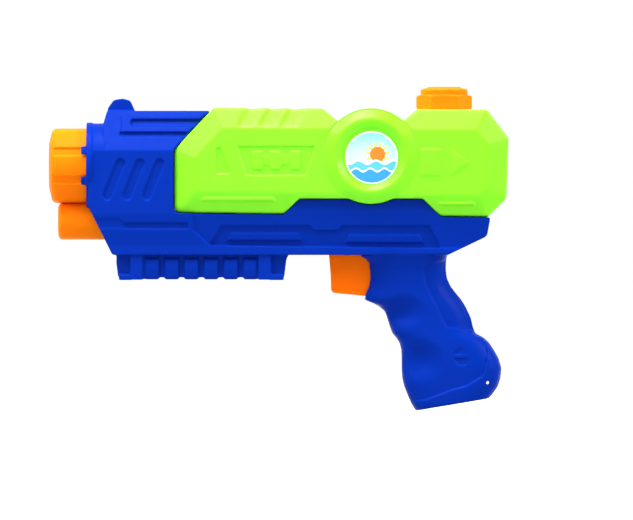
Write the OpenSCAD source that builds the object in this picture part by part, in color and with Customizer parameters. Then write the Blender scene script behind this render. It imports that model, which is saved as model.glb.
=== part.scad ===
// Hand-held water squirter with a trigger pump, in millimetres.
// Two blue half shells carry a green water tank, an orange muzzle and lower barrel,
// a trigger that slides back into the grip, and a screw cap on the tank's filler neck.
// X runs from the muzzle (-X) to the heel of the grip, Y runs across and Z points up.
// The origin is the middle of the grip, where a hand closes round it.

/* [Body] */
// Wall of the moulded shells
wall = 2.2; // [1.8:0.1:2.6]
// Width across the front housing and the lower band
body_w = 48; // [47:1:52]
// Front face of the collar round the muzzle
front_x = -200; // [-212:1:-197]
// Underside of the receiver above the grip's middle
floor_z = 39; // [38:0.5:41]
// Height of the muzzle's axis
bore_z = 92.5; // [92:0.5:94]
// How far the lower side walls lean in
side_lean = 2.6; // [1.6:0.2:2.8]
// Depth of the receiver's sunk side face
face_depth = 1.5; // [1:0.1:1.8]
// Depth of the trough below that face
trough_depth = 1.5; // [1:0.1:1.8]
// Width of the flat on top of the barrel
top_w = 20; // [18:0.5:22]
// Width across the rail under the barrel
rail_w = 40; // [38:0.5:42]
// Depth of the small slots and grooves
slot_depth = 1.2; // [0.8:0.1:1.4]

/* [Tank] */
// Width across the tank's flat sides
tank_w = 55; // [52:1:56]
// Wall of the blow-moulded tank
tank_wall = 2; // [1.6:0.1:2.4]
// Length of the barrel ahead of the tank
barrel_len = 52.8; // [51:0.2:55]
// Rear face of the tank
tank_rear_x = 52.6; // [50:0.2:56]
// Top of the tank at its front
tank_top_z = 127.2; // [126:0.2:129]
// Floor of the front block
front_floor_z = 64.4; // [63:0.2:66]
// Floor between the two blocks
mid_floor_z = 72.8; // [72:0.2:74]
// Floor of the rear block
rear_floor_z = 61.9; // [61:0.2:64]
// Width of the bevels, seen from the side
tank_bevel = 12.6; // [11:0.2:14]
// How far the bevels fall towards the middle
bevel_drop = 6.5; // [5.5:0.5:10]
// Diameter of the drum
drum_d = 57.2; // [55:0.2:59]
// Width across the drum's rings
drum_w = 60; // [59:1:64]
// Diameter of the round labels in the drum's dishes
label_d = 31.6; // [28:0.2:32]
// Gap between the tank and the shells
seat_gap = 0.35; // [0.3:0.05:0.6]

/* [Filler] */
// Centre of the filler neck
neck_x = 14.5; // [12:0.5:17]
// Outer diameter of the neck
neck_d = 21.2; // [20:0.2:22]
// Bore of the neck
neck_bore_d = 17; // [15:0.5:18]
// Height of the neck above the tank
neck_h = 8.6; // [8:0.2:10]
// Width of the cap across its corners
cap_d = 33.6; // [33:0.2:36]
// Lead of the cap's thread
thread_lead = 4; // [3.6:0.2:5]

/* [Muzzle] */
// Diameter of the fluted muzzle
muzzle_d = 44.8; // [42:0.2:46]
// How far the muzzle stands out of the collar
muzzle_out = 22.5; // [18:0.5:30]
// Depth of the grooves between the flutes
flute_depth = 1.2; // [0.8:0.1:1.6]
// Diameter of the lower barrel
lower_d = 21.6; // [18:0.2:22]
// How far the lower barrel stands ahead of the collar
lower_out = 17; // [12:0.5:24]
// Diameter of the water jet's hole
jet_d = 1.6; // [1:0.1:2.4]

/* [Trigger] */
// Width of the trigger
trigger_w = 17; // [14:0.5:18]
// Length of the trigger ahead of the grip
trigger_len = 25.4; // [22:0.2:27]
// Depth of the trigger below the receiver
trigger_drop = 23.2; // [21:0.2:24]
// Stroke of the trigger
trigger_travel = 10; // [7:0.5:10]

/* [Grip] */
// Width of the grip at the palm
grip_w = 32; // [31:0.5:35]
// Diameter of the wrist-cord eye in the heel
eye_d = 2.4; // [2:0.1:3.2]

/* [Pump] */
// Height of the pump's axis
pump_z = 53; // [52.5:0.1:53.5]
// Bore of the pump cylinder
pump_bore_d = 12; // [11:0.2:12.4]
// Wall of the pump cylinder
cylinder_wall = 2; // [1.6:0.1:2.2]
// Outer diameter of the hose
hose_d = 5.8; // [5.2:0.1:6]
// Bore of the hose
hose_bore_d = 4; // [3.6:0.1:4.2]
// Diameter of the valve balls
ball_d = 5; // [4.6:0.1:5.2]
// Travel of the intake ball up to its stop
intake_travel = 1.5; // [1:0.1:1.8]
// Wire of the trigger spring
spring_wire = 0.8; // [0.6:0.1:1]
// Turns of the trigger spring
spring_turns = 6; // [5:1:7]

/* [Fasteners] */
// Shank of the shell screws
screw_d = 3; // [2.6:0.1:3.2]
// Head of the shell screws
screw_head_d = 5.6; // [5:0.1:6]
// Outer diameter of the screw posts
post_d = 8; // [7.4:0.1:8.4]

/* [Clearances] */
// Gap between the trigger and the shells
run_gap = 0.5; // [0.35:0.05:0.7]
// Radial gap of pieces pushed into one another
slip = 0.05; // [0.03:0.01:0.08]

/* [Hidden] */
$fn = 48;
arc_steps = 4;

half_w = body_w / 2;
low_half = half_w - side_lean;
tank_front_x = front_x + barrel_len;
block_x = front_x + 3.4;
collar_len = 10;
sight_x = front_x + collar_len;
sight_lean = 2.4;
lean_h = 8.5;
facet_z = bore_z + 9;
top_z = bore_z + 32.9;
top_half = top_w / 2;
collar_r = muzzle_d / 2 + 3.6;
flange_r = muzzle_d / 2 + 1.3;
flange_x = front_x + 1.3;
flange_t = 1.9;
chin_z = bore_z - 23.4;
lip_x = front_x + 0.8;
chin_x = front_x + 15.7;
tail_x = 16.6;
rear_x = tank_rear_x - 10.6;
rear_top_z = tank_top_z - 1.2;
inner_half = half_w - face_depth - trough_depth - wall;
waist_z = front_floor_z - 0.6;
vent_pitch = 11.8;
vent_r = 2.8;
step_x = tank_front_x + 11.2;
rail_front_x = front_x + 18.8;
rail_rear_x = -81;
rail_z = floor_z - 15;
notch_front_x = -72.4;
notch_rear_x = 1.5;
drum_x = -29.6;
drum_z = mid_floor_z + 25.4;
drum_r = drum_d / 2;
ring_r = 5.2;
dish_depth = 3.4;
dip_foot = 13.5;
dip_floor = 15.8;
dip_front_run = 31.7;
dip_rear_run = 30;
dip_rise = 26;
dish_y = drum_w / 2 - dish_depth;
dish_r = label_d / 2 + 0.5;
label_t = 0.3;
muzzle_x = front_x - muzzle_out;
barrel_gap = 0.06;
lower_z = bore_z - muzzle_d / 2 - lower_d / 2 - barrel_gap;
lower_x = front_x - lower_out;
grip_half = grip_w / 2;
grip_drop = 93.3;
foot_z = floor_z - grip_drop;
grip_lip_x = -29.5;
trigger_back_x = -24;
knuckle_drop = 12;
trigger_x = grip_lip_x - trigger_len;
trigger_half = trigger_w / 2;
trigger_z = floor_z - trigger_drop;
bore_r = pump_bore_d / 2;
cylinder_r = bore_r + cylinder_wall;
mouth_x = -31;
cap_face_x = mouth_x - 2.8;
arm_stop = 1.7;
rod_x0 = cap_face_x - arm_stop - trigger_travel;
arm_x = rod_x0 - 5;
piston_x = -30;
piston_end_x = -23;
head_x = 0;
plug_x = -3;
intake_x = -7;
cup_r = 5.2;
cup_floor_z = pump_z + cylinder_r + 0.6;
cup_top_z = mid_floor_z - 2.9;
ball_r = ball_d / 2;
ball_stop_z = cup_floor_z + ball_d + intake_travel + 0.6;
side_y = 13;
seat_x = 1;
barb_x = -14;
muzzle_front_t = 7.5;
nozzle_seat_x = muzzle_x + muzzle_front_t;
nozzle_len = 34;
nozzle_end_x = nozzle_seat_x + nozzle_len;
barb_len = 11;
post_r = post_d / 2;
screw_seat_y = 8;
screw_end_y = -9;
cap_z = rear_top_z + 0.4;
cap_hex_h = 8.4;
cap_disc_h = 12.6;
cap_h = 13.5;
neck_top_z = rear_top_z + neck_h;
neck_r = neck_d / 2;
cap_bore_r = neck_r + 1.5;

// The tank's floor falls a little from its front block to its rear one.
function tank_floor(x) =
    front_floor_z + (rear_floor_z - front_floor_z) * (x - tank_front_x)
    / (tank_rear_x - 12.1 - tank_front_x);
notch_foot_z = tank_floor(notch_front_x - mid_floor_z + front_floor_z);
heel_foot_z = tank_floor(notch_rear_x + mid_floor_z - rear_floor_z);

// Screw posts: place in the side view, and how far out the post reaches.
posts = [[front_x + 36, bore_z + 25, top_half + 1.2],
         [front_x + 28, floor_z + 11, low_half - 1],
         [notch_front_x - 39.6, front_floor_z - 8, inner_half],
         [-66, mid_floor_z - 12.5, inner_half],
         [20, rear_floor_z - 8.4, inner_half],
         [5, floor_z - 17, grip_half - 2.4],
         [25.6, floor_z - 60.8, grip_half - 1.2]];

// Side outlines as corners: x, z and the corner's radius, counter-clockwise.
body_corners = [[chin_x, floor_z, 2], [tail_x, floor_z, 2], [rear_x - 2, floor_z + 11.2, 4],
                [rear_x, rear_floor_z - seat_gap, 1],
                [notch_rear_x + mid_floor_z - heel_foot_z, heel_foot_z - seat_gap, 2],
                [notch_rear_x, mid_floor_z - seat_gap, 2],
                [notch_front_x, mid_floor_z - seat_gap, 2],
                [notch_front_x - mid_floor_z + notch_foot_z, notch_foot_z - seat_gap, 2],
                [tank_front_x - seat_gap, front_floor_z - seat_gap, 3.6],
                [tank_front_x - seat_gap, facet_z + 0.6, 1],
                [tank_front_x - seat_gap * 1.4 + (top_z - facet_z - 0.6) * 0.95, top_z, 0.6],
                [sight_x + sight_lean, top_z, 1], [sight_x, top_z - lean_h, 1], [sight_x, facet_z, 0.5],
                [block_x, facet_z, 0.5], [lip_x, chin_z, 1.5]];
body_section = [[-low_half, floor_z - 1, 0.5], [low_half, floor_z - 1, 0.5],
                [low_half, floor_z + 6, 0.6], [half_w, waist_z, 0.6], [half_w, facet_z, 0.6],
                [top_half, top_z + 0.1, 0.8], [-top_half, top_z + 0.1, 0.8], [-half_w, facet_z, 0.6],
                [-half_w, waist_z, 0.6], [-low_half, floor_z + 6, 0.6]];
hollow_section = [[side_lean - inner_half, rail_z, 0], [inner_half - side_lean, rail_z, 0],
                  [inner_half - side_lean, floor_z + 6, 0], [inner_half, waist_z, 0],
                  [inner_half, top_z, 0], [-inner_half, top_z, 0], [-inner_half, waist_z, 0],
                  [side_lean - inner_half, floor_z + 6, 0]];
sight_corners = [[sight_x + sight_lean, top_z - 4, 0.3], [sight_x + 19, top_z - 4, 0.3],
                 [sight_x + 18.6, top_z + 1, 0.5], [sight_x + 16.2, top_z + 6.2, 2],
                 [sight_x + 11.8, top_z + 7.4, 4], [sight_x + 6.4, top_z + 6.6, 3],
                 [sight_x + 2.8, top_z + 1.6, 3]];
rail_corners = [[rail_front_x + 0.3, rail_z + 1.6, 1.5], [rail_rear_x - 0.5, rail_z + 1.6, 1],
                [rail_rear_x + 0.8, floor_z - 3, 3], [rail_rear_x + 4.4, floor_z + 6, 1],
                [rail_front_x - 0.4, floor_z + 6, 1], [rail_front_x - 0.8, floor_z - 4.5, 4]];
tank_corners = [[tank_front_x, front_floor_z, 3.2], [tank_rear_x - 12.1, rear_floor_z, 1.5],
                [tank_rear_x - 1, rear_floor_z + 11, 2], [tank_rear_x + 0.3, tank_top_z - 18, 3],
                [tank_rear_x - 12.6, rear_top_z, 1.5], [tank_front_x + 23.7, tank_top_z, 1.5],
                [tank_front_x, facet_z + 0.6, 3]];
notch_corners = [[notch_front_x - 33, mid_floor_z - 33, 1], [notch_rear_x + 33, mid_floor_z - 33, 1],
                 [notch_rear_x, mid_floor_z, 2], [notch_front_x, mid_floor_z, 2]];
dip_corners = [[drum_x - dip_foot, drum_z + dip_floor, 2], [drum_x + dip_foot, drum_z + dip_floor, 2],
               [drum_x + dip_foot + dip_rear_run, drum_z + dip_floor + dip_rise, 1],
               [drum_x - dip_foot - dip_front_run, drum_z + dip_floor + dip_rise, 1]];
trigger_corners = [[trigger_x + 1.6, trigger_z + 0.6, 2.5], [trigger_back_x, trigger_z - 2.2, 1.5],
                   [trigger_back_x, floor_z + wall + 0.4, 0.5],
                   [trigger_x + 0.1, floor_z + wall + 0.4, 0.5],
                   [trigger_x + 1.3, floor_z - knuckle_drop, 14]];

// Grip stations: how far below the receiver, front edge, back edge and extra half width.
grip_stations = [[-6, -29.4, 15.8, 5.2], [0, -30, 16.3, 5.1], [4, -29.6, 15.7, 3.2],
                 [9, -29.5, 15.6, 1.4], [14, -29.6, 16.3, 0.6], [19, -30.6, 18.6, 0.2],
                 [23.6, -32.2, 22.2, 0], [26.4, -32, 24.6, 0], [28.4, -29.2, 25.9, 0],
                 [31, -24.4, 27.5, -0.2], [34, -21.1, 28.9, -0.4], [38, -19.7, 30.7, -0.5],
                 [43, -18.2, 31.8, -0.4], [46.8, -16.8, 33.2, -0.2], [49.6, -14.4, 38.4, 0],
                 [52.6, -12.4, 41.6, 0.2], [57, -11.3, 44.5, 0.4], [62, -11.2, 47.3, 0.5],
                 [68, -11.2, 49, 0.5], [74, -10.8, 48.4, 0.3], [79, -9.6, 46.8, 0.2],
                 [84, -7.6, 43.2, 0], [89, -5.4, 38.6, -0.3], [94, -2.4, 33, -0.8],
                 [98, 0, 28, -1.5]];

// Route of the hose from the outlet barb, low past the trigger, up to the nozzle.
hose_points = [[barb_x - 3, side_y, pump_z], [barb_x - 12, side_y, pump_z],
               [-38, side_y, pump_z - 0.8], [-48, side_y, pump_z - 3.4],
               [-58, side_y, floor_z + 9], [-70, side_y - 0.4, floor_z + 8],
               for (t = [0.25, 0.5, 0.75])
                   [-70 * (1 - t) + (nozzle_end_x + 48) * t, side_y - 1, floor_z + 7.6],
               [nozzle_end_x + 48, side_y - 1.4, floor_z + 8.2],
               [nozzle_end_x + 40, side_y - 2, floor_z + 10.4],
               [nozzle_end_x + 33, side_y - 3.2, floor_z + 15],
               [nozzle_end_x + 28, side_y - 4.8, floor_z + 21.4],
               [nozzle_end_x + 24.6, side_y - 6.6, floor_z + 29],
               [nozzle_end_x + 21, side_y - 8.6, bore_z - 17],
               [nozzle_end_x + 16.6, side_y - 10.6, bore_z - 10],
               [nozzle_end_x + 10.6, side_y - 12.2, bore_z - 4.4],
               [nozzle_end_x + 3, 0.2, bore_z - 0.8], [nozzle_end_x - 4, 0, bore_z],
               [nozzle_end_x - 10, 0, bore_z]];

function unit(v) = v / norm(v);
function left_of(v) = [-v[1], v[0]];
function flat2(p) = [p[0], p[1]];

// A corner of an outline whose edges all move inwards by d.
function moved_corner(p, i, d) =
    let (n = len(p), a = flat2(p[(i + n - 1) % n]), b = flat2(p[i]), c = flat2(p[(i + 1) % n]),
         u = left_of(unit(b - a)), v = left_of(unit(c - b)))
    b + (u + v) * d / (1 + u * v);

// Points of one rounded corner b between a and c.
function round_corner(a, b, c, r) =
    let (u = unit(b - a), v = unit(c - b), bend = cross(u, v), turn = acos(max(-1, min(1, u * v))))
    r < 0.1 || turn < 3 ? [b] :
    let (s = sign(bend), t = r * tan(turn / 2), start = b - u * t, hub = start + left_of(u) * r * s,
         a0 = atan2(start[1] - hub[1], start[0] - hub[0]))
    [for (k = [0:arc_steps]) hub + r * [cos(a0 + s * turn * k / arc_steps),
                                        sin(a0 + s * turn * k / arc_steps)]];

// The rounded outline of a corner list, moved inwards by d.
function outline(p, d = 0) =
    let (n = len(p), q = [for (i = [0:n - 1]) moved_corner(p, i, d)])
    [for (i = [0:n - 1])
        let (a = q[(i + n - 1) % n], b = q[i], c = q[(i + 1) % n],
             r = cross(b - a, c - b) > 0 ? max(p[i][2] - d, 0) : max(p[i][2] + d, 0))
        each round_corner(a, b, c, r)];

// A straight slot with round ends between two points.
function slot(p, q, r) =
    let (a = atan2(q[1] - p[1], q[0] - p[0]))
    concat([for (k = [0:6]) q + r * [cos(a - 90 + 30 * k), sin(a - 90 + 30 * k)]],
           [for (k = [0:6]) p + r * [cos(a + 90 + 30 * k), sin(a + 90 + 30 * k)]]);

function box_points(x0, z0, x1, z1) = [[x0, z0], [x1, z0], [x1, z1], [x0, z1]];

// Signed power, for rounded grip sections.
function spow(v, e) = sign(v) * pow(abs(v), e);
function grip_ring(s, d, n) =
    let (mid = (s[1] + s[2]) / 2, a = (s[2] - s[1]) / 2 - d, b = grip_half + s[3] - d)
    [for (k = [0:n - 1]) [mid + a * spow(cos(360 * k / n), 0.76),
                          -b * spow(sin(360 * k / n), 0.76), floor_z - s[0]]];

function tangent(p, i) = unit(p[min(i + 1, len(p) - 1)] - p[max(i - 1, 0)]);
function tube_ring(p, t, r, n) =
    let (u = unit(cross([0, 1, 0], t)), v = cross(t, u))
    [for (k = [0:n - 1]) p + r * (u * cos(360 * k / n) + v * sin(360 * k / n))];

// One closed solid through rings of points, each counter-clockwise about the way ahead.
module loft(rings) {
    n = len(rings[0]);
    m = len(rings);
    polyhedron(points = [for (r = rings) each r],
               faces = concat(
                   [[for (j = [0:n - 1]) j]],
                   [[for (j = [n - 1:-1:0]) (m - 1) * n + j]],
                   [for (i = [0:m - 2], j = [0:n - 1], h = [0, 1])
                       let (k = (j + 1) % n, a = i * n + j, b = i * n + k)
                       h == 0 ? [a, a + n, b + n] : [a, b + n, b]]));
}

// A hollow hose along a route.
module hose(path, r_out, r_in, n) {
    m = len(path);
    rings = [for (r = [r_out, r_in], i = [0:m - 1]) each tube_ring(path[i], tangent(path, i), r, n)];
    o = m * n;
    e = (m - 1) * n;
    polyhedron(points = rings,
               faces = concat(
                   [for (i = [0:m - 2], j = [0:n - 1], h = [0, 1])
                       let (k = (j + 1) % n, a = i * n + j, b = i * n + k)
                       h == 0 ? [a, a + n, b + n] : [a, b + n, b]],
                   [for (i = [0:m - 2], j = [0:n - 1], h = [0, 1])
                       let (k = (j + 1) % n, a = o + i * n + j, b = o + i * n + k)
                       h == 0 ? [a, b + n, a + n] : [a, b, b + n]],
                   [for (j = [0:n - 1], h = [0, 1]) let (k = (j + 1) % n)
                       h == 0 ? [j, k, o + k] : [j, o + k, o + j]],
                   [for (j = [0:n - 1], h = [0, 1]) let (k = (j + 1) % n)
                       h == 0 ? [e + j, o + e + k, e + k] : [e + j, o + e + j, o + e + k]]));
}

// A side outline stretched across, half on each side.
module across(points, half) {
    rotate([90, 0, 0]) linear_extrude(2 * half, center = true) polygon(points);
}

// A side outline stretched across from y0 to y1.
module across_between(points, y0, y1) {
    translate([0, y1, 0]) rotate([90, 0, 0]) linear_extrude(y1 - y0) polygon(points);
}

// The same shape on both sides, between two distances from the middle.
module both_sides(points, y0, y1) {
    across_between(points, y0, y1);
    across_between(points, -y1, -y0);
}

// A cross-section in Y and Z stretched along X.
module along(points, x0, x1) {
    translate([x0, 0, 0]) rotate([90, 0, 90]) linear_extrude(x1 - x0) polygon(points);
}

module rod_x(r, x0, x1, z, y = 0) {
    translate([x0, y, z]) rotate([0, 90, 0]) cylinder(r = r, h = x1 - x0);
}

module rod_y(r, y0, y1, x, z) {
    translate([x, y0, z]) rotate([-90, 0, 0]) cylinder(r = r, h = y1 - y0);
}

module rod_z(r, z0, z1, x, y = 0) {
    translate([x, y, z0]) cylinder(r = r, h = z1 - z0);
}

module block(x0, x1, y0, y1, z0, z1) {
    translate([x0, y0, z0]) cube([x1 - x0, y1 - y0, z1 - z0]);
}

// A round ring of circular section about an axis along X.
module o_ring_x(ring_r, cord_r, x, z, y = 0) {
    translate([x, y, z]) rotate([0, 90, 0]) rotate_extrude() translate([ring_r, 0]) circle(cord_r);
}

// A ridge wound round an axis along Z, with a broad root and a narrow crest.
module thread_ridge(root_r, crest_r, z0, a0, a1, lead) {
    steps = ceil((a1 - a0) / 15);
    s = crest_r > root_r ? 1 : -1;
    loft([for (i = [0:steps])
        let (a = a0 + (a1 - a0) * i / steps, z = z0 + lead * a / 360)
        [for (p = [[crest_r, -0.4], [root_r, -0.9], [root_r, 0.9], [crest_r, 0.4]])
            [p[0] * cos(a), p[0] * sin(a), z + p[1] * s]]]);
}

// The body's outline with its cross-section, moved inwards by d.
module body_block(d) {
    difference() {
        intersection() {
            across(outline(body_corners, d), half_w + 6);
            along(outline(body_section, d), front_x - 1, rear_x + 6);
        }
        rod_y(drum_r + seat_gap + d, -half_w - 8, half_w + 8, drum_x, drum_z);
    }
}

module grip_block(d, n) {
    difference() {
        loft([for (s = grip_stations) grip_ring(s, d, n)]);
        translate([-2.4, 0, foot_z + d]) rotate([0, -9.5, 0]) translate([-70, -60, -70])
            cube([190, 120, 70]);
    }
}

// Two keys each side lock the muzzle's grooves against turning.
module collar_keys() {
    for (a = [16.5, -28.5, 151.5, 196.5])
        translate([front_x - 3, 0, bore_z]) rotate([0, 90, 0]) rotate([0, 0, a + 90])
            rotate_extrude(angle = 12) translate([muzzle_d / 2 - flute_depth + 0.3, 0])
            square([3, 4.5]);
}

module rail_block(d) {
    across(outline(rail_corners, d), rail_w / 2 - 3 - d);
}

module rail_trim() {
    lug_pitch = (rail_rear_x - rail_front_x - 29.5) / 6;
    across(box_points(rail_front_x + 7.6, rail_z + 0.2, rail_front_x + 15, floor_z + 1), rail_w / 2);
    across(box_points(rail_rear_x - 15.8, rail_z + 0.2, rail_rear_x - 8.4, floor_z + 1), rail_w / 2);
    for (i = [0:5])
        across(outline([for (p = box_points(rail_front_x + 16.6 + lug_pitch * i, rail_z + 0.4,
                                            rail_front_x + 16.6 + lug_pitch * i + 8, floor_z + 1))
                        [p[0], p[1], 0.6]]), rail_w / 2 - 0.8);
    across(box_points(rail_front_x + 0.8, rail_z, rail_front_x + 8, rail_z + 3.4), rail_w / 2);
    across(box_points(rail_rear_x - 9, rail_z, rail_rear_x - 0.8, rail_z + 3.4), rail_w / 2);
}

module housing_outer() {
    difference() {
        union() {
            body_block(0);
            rod_x(collar_r, front_x, block_x, bore_z);
            intersection() {
                rod_x(collar_r - 0.5, block_x - 0.5, sight_x + 1, bore_z);
                block(block_x - 1, sight_x + 2, -half_w, half_w, bore_z - 40, bore_z + 40);
            }
            collar_keys();
            across(outline(sight_corners), 7);
            intersection() {
                across(outline([[sight_x + 11.2, top_z - 12.6, 0], [tank_front_x + 9, top_z - 12.6, 0],
                                [tank_front_x + 18.4, top_z - 1.6, 0], [sight_x + 11.2, top_z - 1.6, 2]]),
                       half_w);
                along(outline(body_section, -0.7), sight_x, tank_front_x + 20);
            }
            rail_block(0);
            rail_trim();
            grip_block(0, 32);
        }
        side_reliefs();
    }
}

// A side outline sunk into both side walls, to one depth all over.
module sunk(points, depth) {
    difference() {
        across(points, half_w + 20);
        along(outline(body_section, depth), front_x - 20, rear_x + 40);
    }
}

// Grooves, slots and sunk faces of the side walls.
module side_reliefs() {
    for (i = [0:2])
        sunk(slot([front_x + 20.9 + vent_pitch * i, bore_z + 2.4],
                  [front_x + 12.8 + vent_pitch * i, bore_z - 18.1], vent_r), slot_depth);
    sunk(slot([sight_x + 18.8, top_z - 7.2], [tank_front_x + 30, top_z - 7.2], 2.4), slot_depth);
    sunk(box_points(sight_x + 10, top_z - 15.4, tank_front_x + 7.4, top_z - 12.8), slot_depth);
    sunk(box_points(front_x + 22.8, floor_z + 15.6, step_x - 3, floor_z + 19.2), slot_depth);
    sunk([[front_x - 1, floor_z + 15.6], [front_x + 23, floor_z + 15.6], [front_x + 23, floor_z + 19.2],
          [front_x + 20, floor_z + 21.7], [front_x - 1, floor_z + 21.7]], slot_depth / 2);
    sunk([[step_x, floor_z + 40], [step_x, floor_z + 15], [step_x + 9.6, floor_z + 5.7],
          [tail_x + 40, floor_z + 3.4], [tail_x + 40, floor_z + 40]], face_depth);
    difference() {
        sunk([[step_x + 9.6, floor_z + 5.7], [tail_x - 4.6, floor_z + 4], [tail_x - 11, floor_z + 17.4],
              [-47, floor_z + 17.4], [-49.4, floor_z + 14.6], [-63.6, floor_z + 14.6],
              [-66, floor_z + 17.4], [step_x + 17, floor_z + 17.4]], face_depth + trough_depth);
        across([[step_x + 20.4, floor_z + 8.8], [-71, floor_z + 8.8], [-72.6, floor_z + 13],
                [step_x + 22.6, floor_z + 13]], body_w);
        across([[-44.4, floor_z + 7.4], [tail_x - 14.8, floor_z + 7.4], [tail_x - 17, floor_z + 12.2],
                [-42.6, floor_z + 12.2]], body_w);
    }
}

module housing_inner() {
    intersection() {
        body_block(wall);
        union() {
            block(front_x - 1, step_x - 3, -half_w, half_w, rail_z, top_z + 10);
            along(outline(hollow_section), step_x - 4, rear_x + 5);
        }
    }
    rod_x(flange_r + 0.2, flange_x - 0.1, flange_x + flange_t + 0.1, bore_z);
    rod_x(flange_r - 2, flange_x + flange_t, block_x + wall + 0.1, bore_z);
    rod_x(muzzle_d / 2 + 0.25, front_x - 8, front_x + 4, bore_z);
    intersection() {
        rod_x(collar_r - 0.5 - wall, block_x + wall - 0.1, sight_x - 0.2, bore_z);
        block(front_x, sight_x + 8, wall - half_w, half_w - wall, bore_z - 40, bore_z + 40);
    }
    rod_x(lower_d / 2 + 0.25, front_x - 4, chin_x + 1, lower_z);
    rail_block(wall);
    intersection() {
        grip_block(wall, 20);
        block(front_x, tank_rear_x, -half_w, half_w, foot_z - wall, floor_z + wall + 0.4);
    }
    trigger_way();
}

// The way through the floor and the grip's front wall for the trigger.
module trigger_way() {
    y = trigger_half + run_gap;
    block(trigger_x - run_gap - 0.6, grip_lip_x + 6, -y, y, floor_z - 2, floor_z + wall + 0.5);
    block(grip_lip_x - 8, grip_lip_x + 6, -y, y, trigger_z - 2.4 - run_gap, floor_z + 1);
}

module housing_ribs() {
    intersection() {
        difference() {
            rod_x(flange_r + 1, block_x + wall, block_x + wall + 2, bore_z);
            rod_x(flange_r - 4, block_x + 1, block_x + wall + 4, bore_z);
        }
        block(front_x, front_x + 20, -half_w + 1, half_w - 1, lower_z + lower_d / 2 + 0.5,
              bore_z + collar_r - 1.5);
    }
    block(chin_x + 2.6, chin_x + 4.6, 1 - low_half, low_half - 1, floor_z + 1, lower_z - 5);
    for (x = [-26.6, -19])
        difference() {
            intersection() {
                along(outline(hollow_section, -0.8), x - 1.2, x + 1.2);
                block(x - 2, x + 2, -half_w, half_w, pump_z - 2, drum_z - drum_r - seat_gap - 0.6);
            }
            rod_x(cylinder_r + 0.1, x - 3, x + 3, pump_z);
            rod_x(hose_d / 2 + 1.2, x - 3, x + 3, pump_z, side_y);
        }
    rod_y(eye_d / 2 + 1.4, -grip_half + 4.4, grip_half - 4.4, 40.6, floor_z - 76.6);
}

// Holes through the finished walls, common to both shells.
module housing_holes() {
    rod_y(eye_d / 2, -grip_half - 6, grip_half + 6, 40.6, floor_z - 76.6);
    rod_z(8.4, mid_floor_z - 7, mid_floor_z + 4, intake_x);
    rod_x(5 + run_gap, barb_x - 2.5, head_x + 9.5, pump_z, side_y);
    for (p = [posts[2], posts[4]])
        block(p[0] - 7.6, p[0] + 7.6, -2 - seat_gap, 2 + seat_gap, p[1] - 1, p[1] + 15);
}

module post_pair(grow) {
    for (p = posts) rod_y(post_r + grow, -p[2], p[2], p[0], p[1]);
}

module shell_solid() {
    difference() {
        union() {
            difference() {
                housing_outer();
                housing_inner();
            }
            housing_ribs();
        }
        housing_holes();
    }
    post_pair(0);
}

module left_shell() {
    color("RoyalBlue") difference() {
        intersection() {
            shell_solid();
            block(front_x - body_w, tank_rear_x + body_w, -body_w, 0, foot_z - body_w,
                  top_z + body_w);
        }
        for (p = posts) rod_y(screw_d / 2 + slip, screw_end_y - 1, 1, p[0], p[1]);
        difference() {
            rod_y(5.5, -grip_half - 5, -grip_half + 0.4, posts[6][0], posts[6][1]);
            block(posts[6][0] - 6, posts[6][0] + 6, -grip_half - 6, -grip_half + 2, posts[6][1] - 1,
                  posts[6][1] + 1);
        }
    }
}

module right_shell() {
    color("RoyalBlue") difference() {
        intersection() {
            shell_solid();
            block(front_x - body_w, tank_rear_x + body_w, 0, body_w, foot_z - body_w,
                  top_z + body_w);
        }
        for (p = posts) {
            rod_y(screw_d / 2 + 0.2, -1, screw_seat_y + 1, p[0], p[1]);
            rod_y(screw_head_d / 2 + 0.3, screw_seat_y, half_w + 20, p[0], p[1]);
        }
    }
}

// The tank's bevelled block, moved inwards by d.
module tank_block(d) {
    fall = norm([tank_bevel, bevel_drop]);
    hull() {
        across(outline(tank_corners, d), tank_w / 2 - bevel_drop - d * (fall - bevel_drop) / tank_bevel);
        across(outline(tank_corners, tank_bevel + d * (fall - tank_bevel) / bevel_drop), tank_w / 2 - d);
    }
}

module tank_form(d) {
    difference() {
        tank_block(d);
        across(outline(notch_corners, -d), tank_w);
        across(outline(dip_corners, -d), tank_w);
    }
}

// Half section of the drum's ring, from its widest part over the crest to its inner edge.
drum_rim = [for (k = [0:10]) let (a = 130 * k / 10)
            [drum_r - ring_r + ring_r * cos(a), drum_w / 2 - ring_r + ring_r * sin(a)]];
rim_edge = drum_rim[len(drum_rim) - 1];

module drum() {
    translate([drum_x, 0, drum_z]) rotate([90, 0, 0]) rotate_extrude()
        polygon(concat([[0, -rim_edge[1]]],
                       [for (i = [len(drum_rim) - 1:-1:0]) [drum_rim[i][0], -drum_rim[i][1]]],
                       drum_rim, [[0, rim_edge[1]]]));
}

// The dish round each label, open outwards.
module drum_dishes() {
    lip = 0.1;
    for (side = [0, 180])
        translate([drum_x, 0, drum_z]) rotate([90, 0, side]) rotate_extrude()
            polygon([[0, dish_y], [dish_r, dish_y], [rim_edge[0] - lip, rim_edge[1] + lip / 2],
                     [rim_edge[0] - lip, drum_w], [0, drum_w]]);
}

// A shallow step across the top bevels that rises again towards the rear.
module finger_scallop(x) {
    z = tank_top_z;
    difference() {
        across([[x + 12, z + 3], [x + 1.2, z + 3], [x - 0.6, z - 1.8], [x - 3.4, z - 5.4],
                [x - 5, z - 8.4], [x - 5.3, z - 11.4], [x + 4, z - 11.4]], tank_w);
        translate([x + 11.4, 0, z]) rotate([0, -4, 0]) translate([-x - 11.4, 0, -z]) tank_block(0);
    }
}

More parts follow.
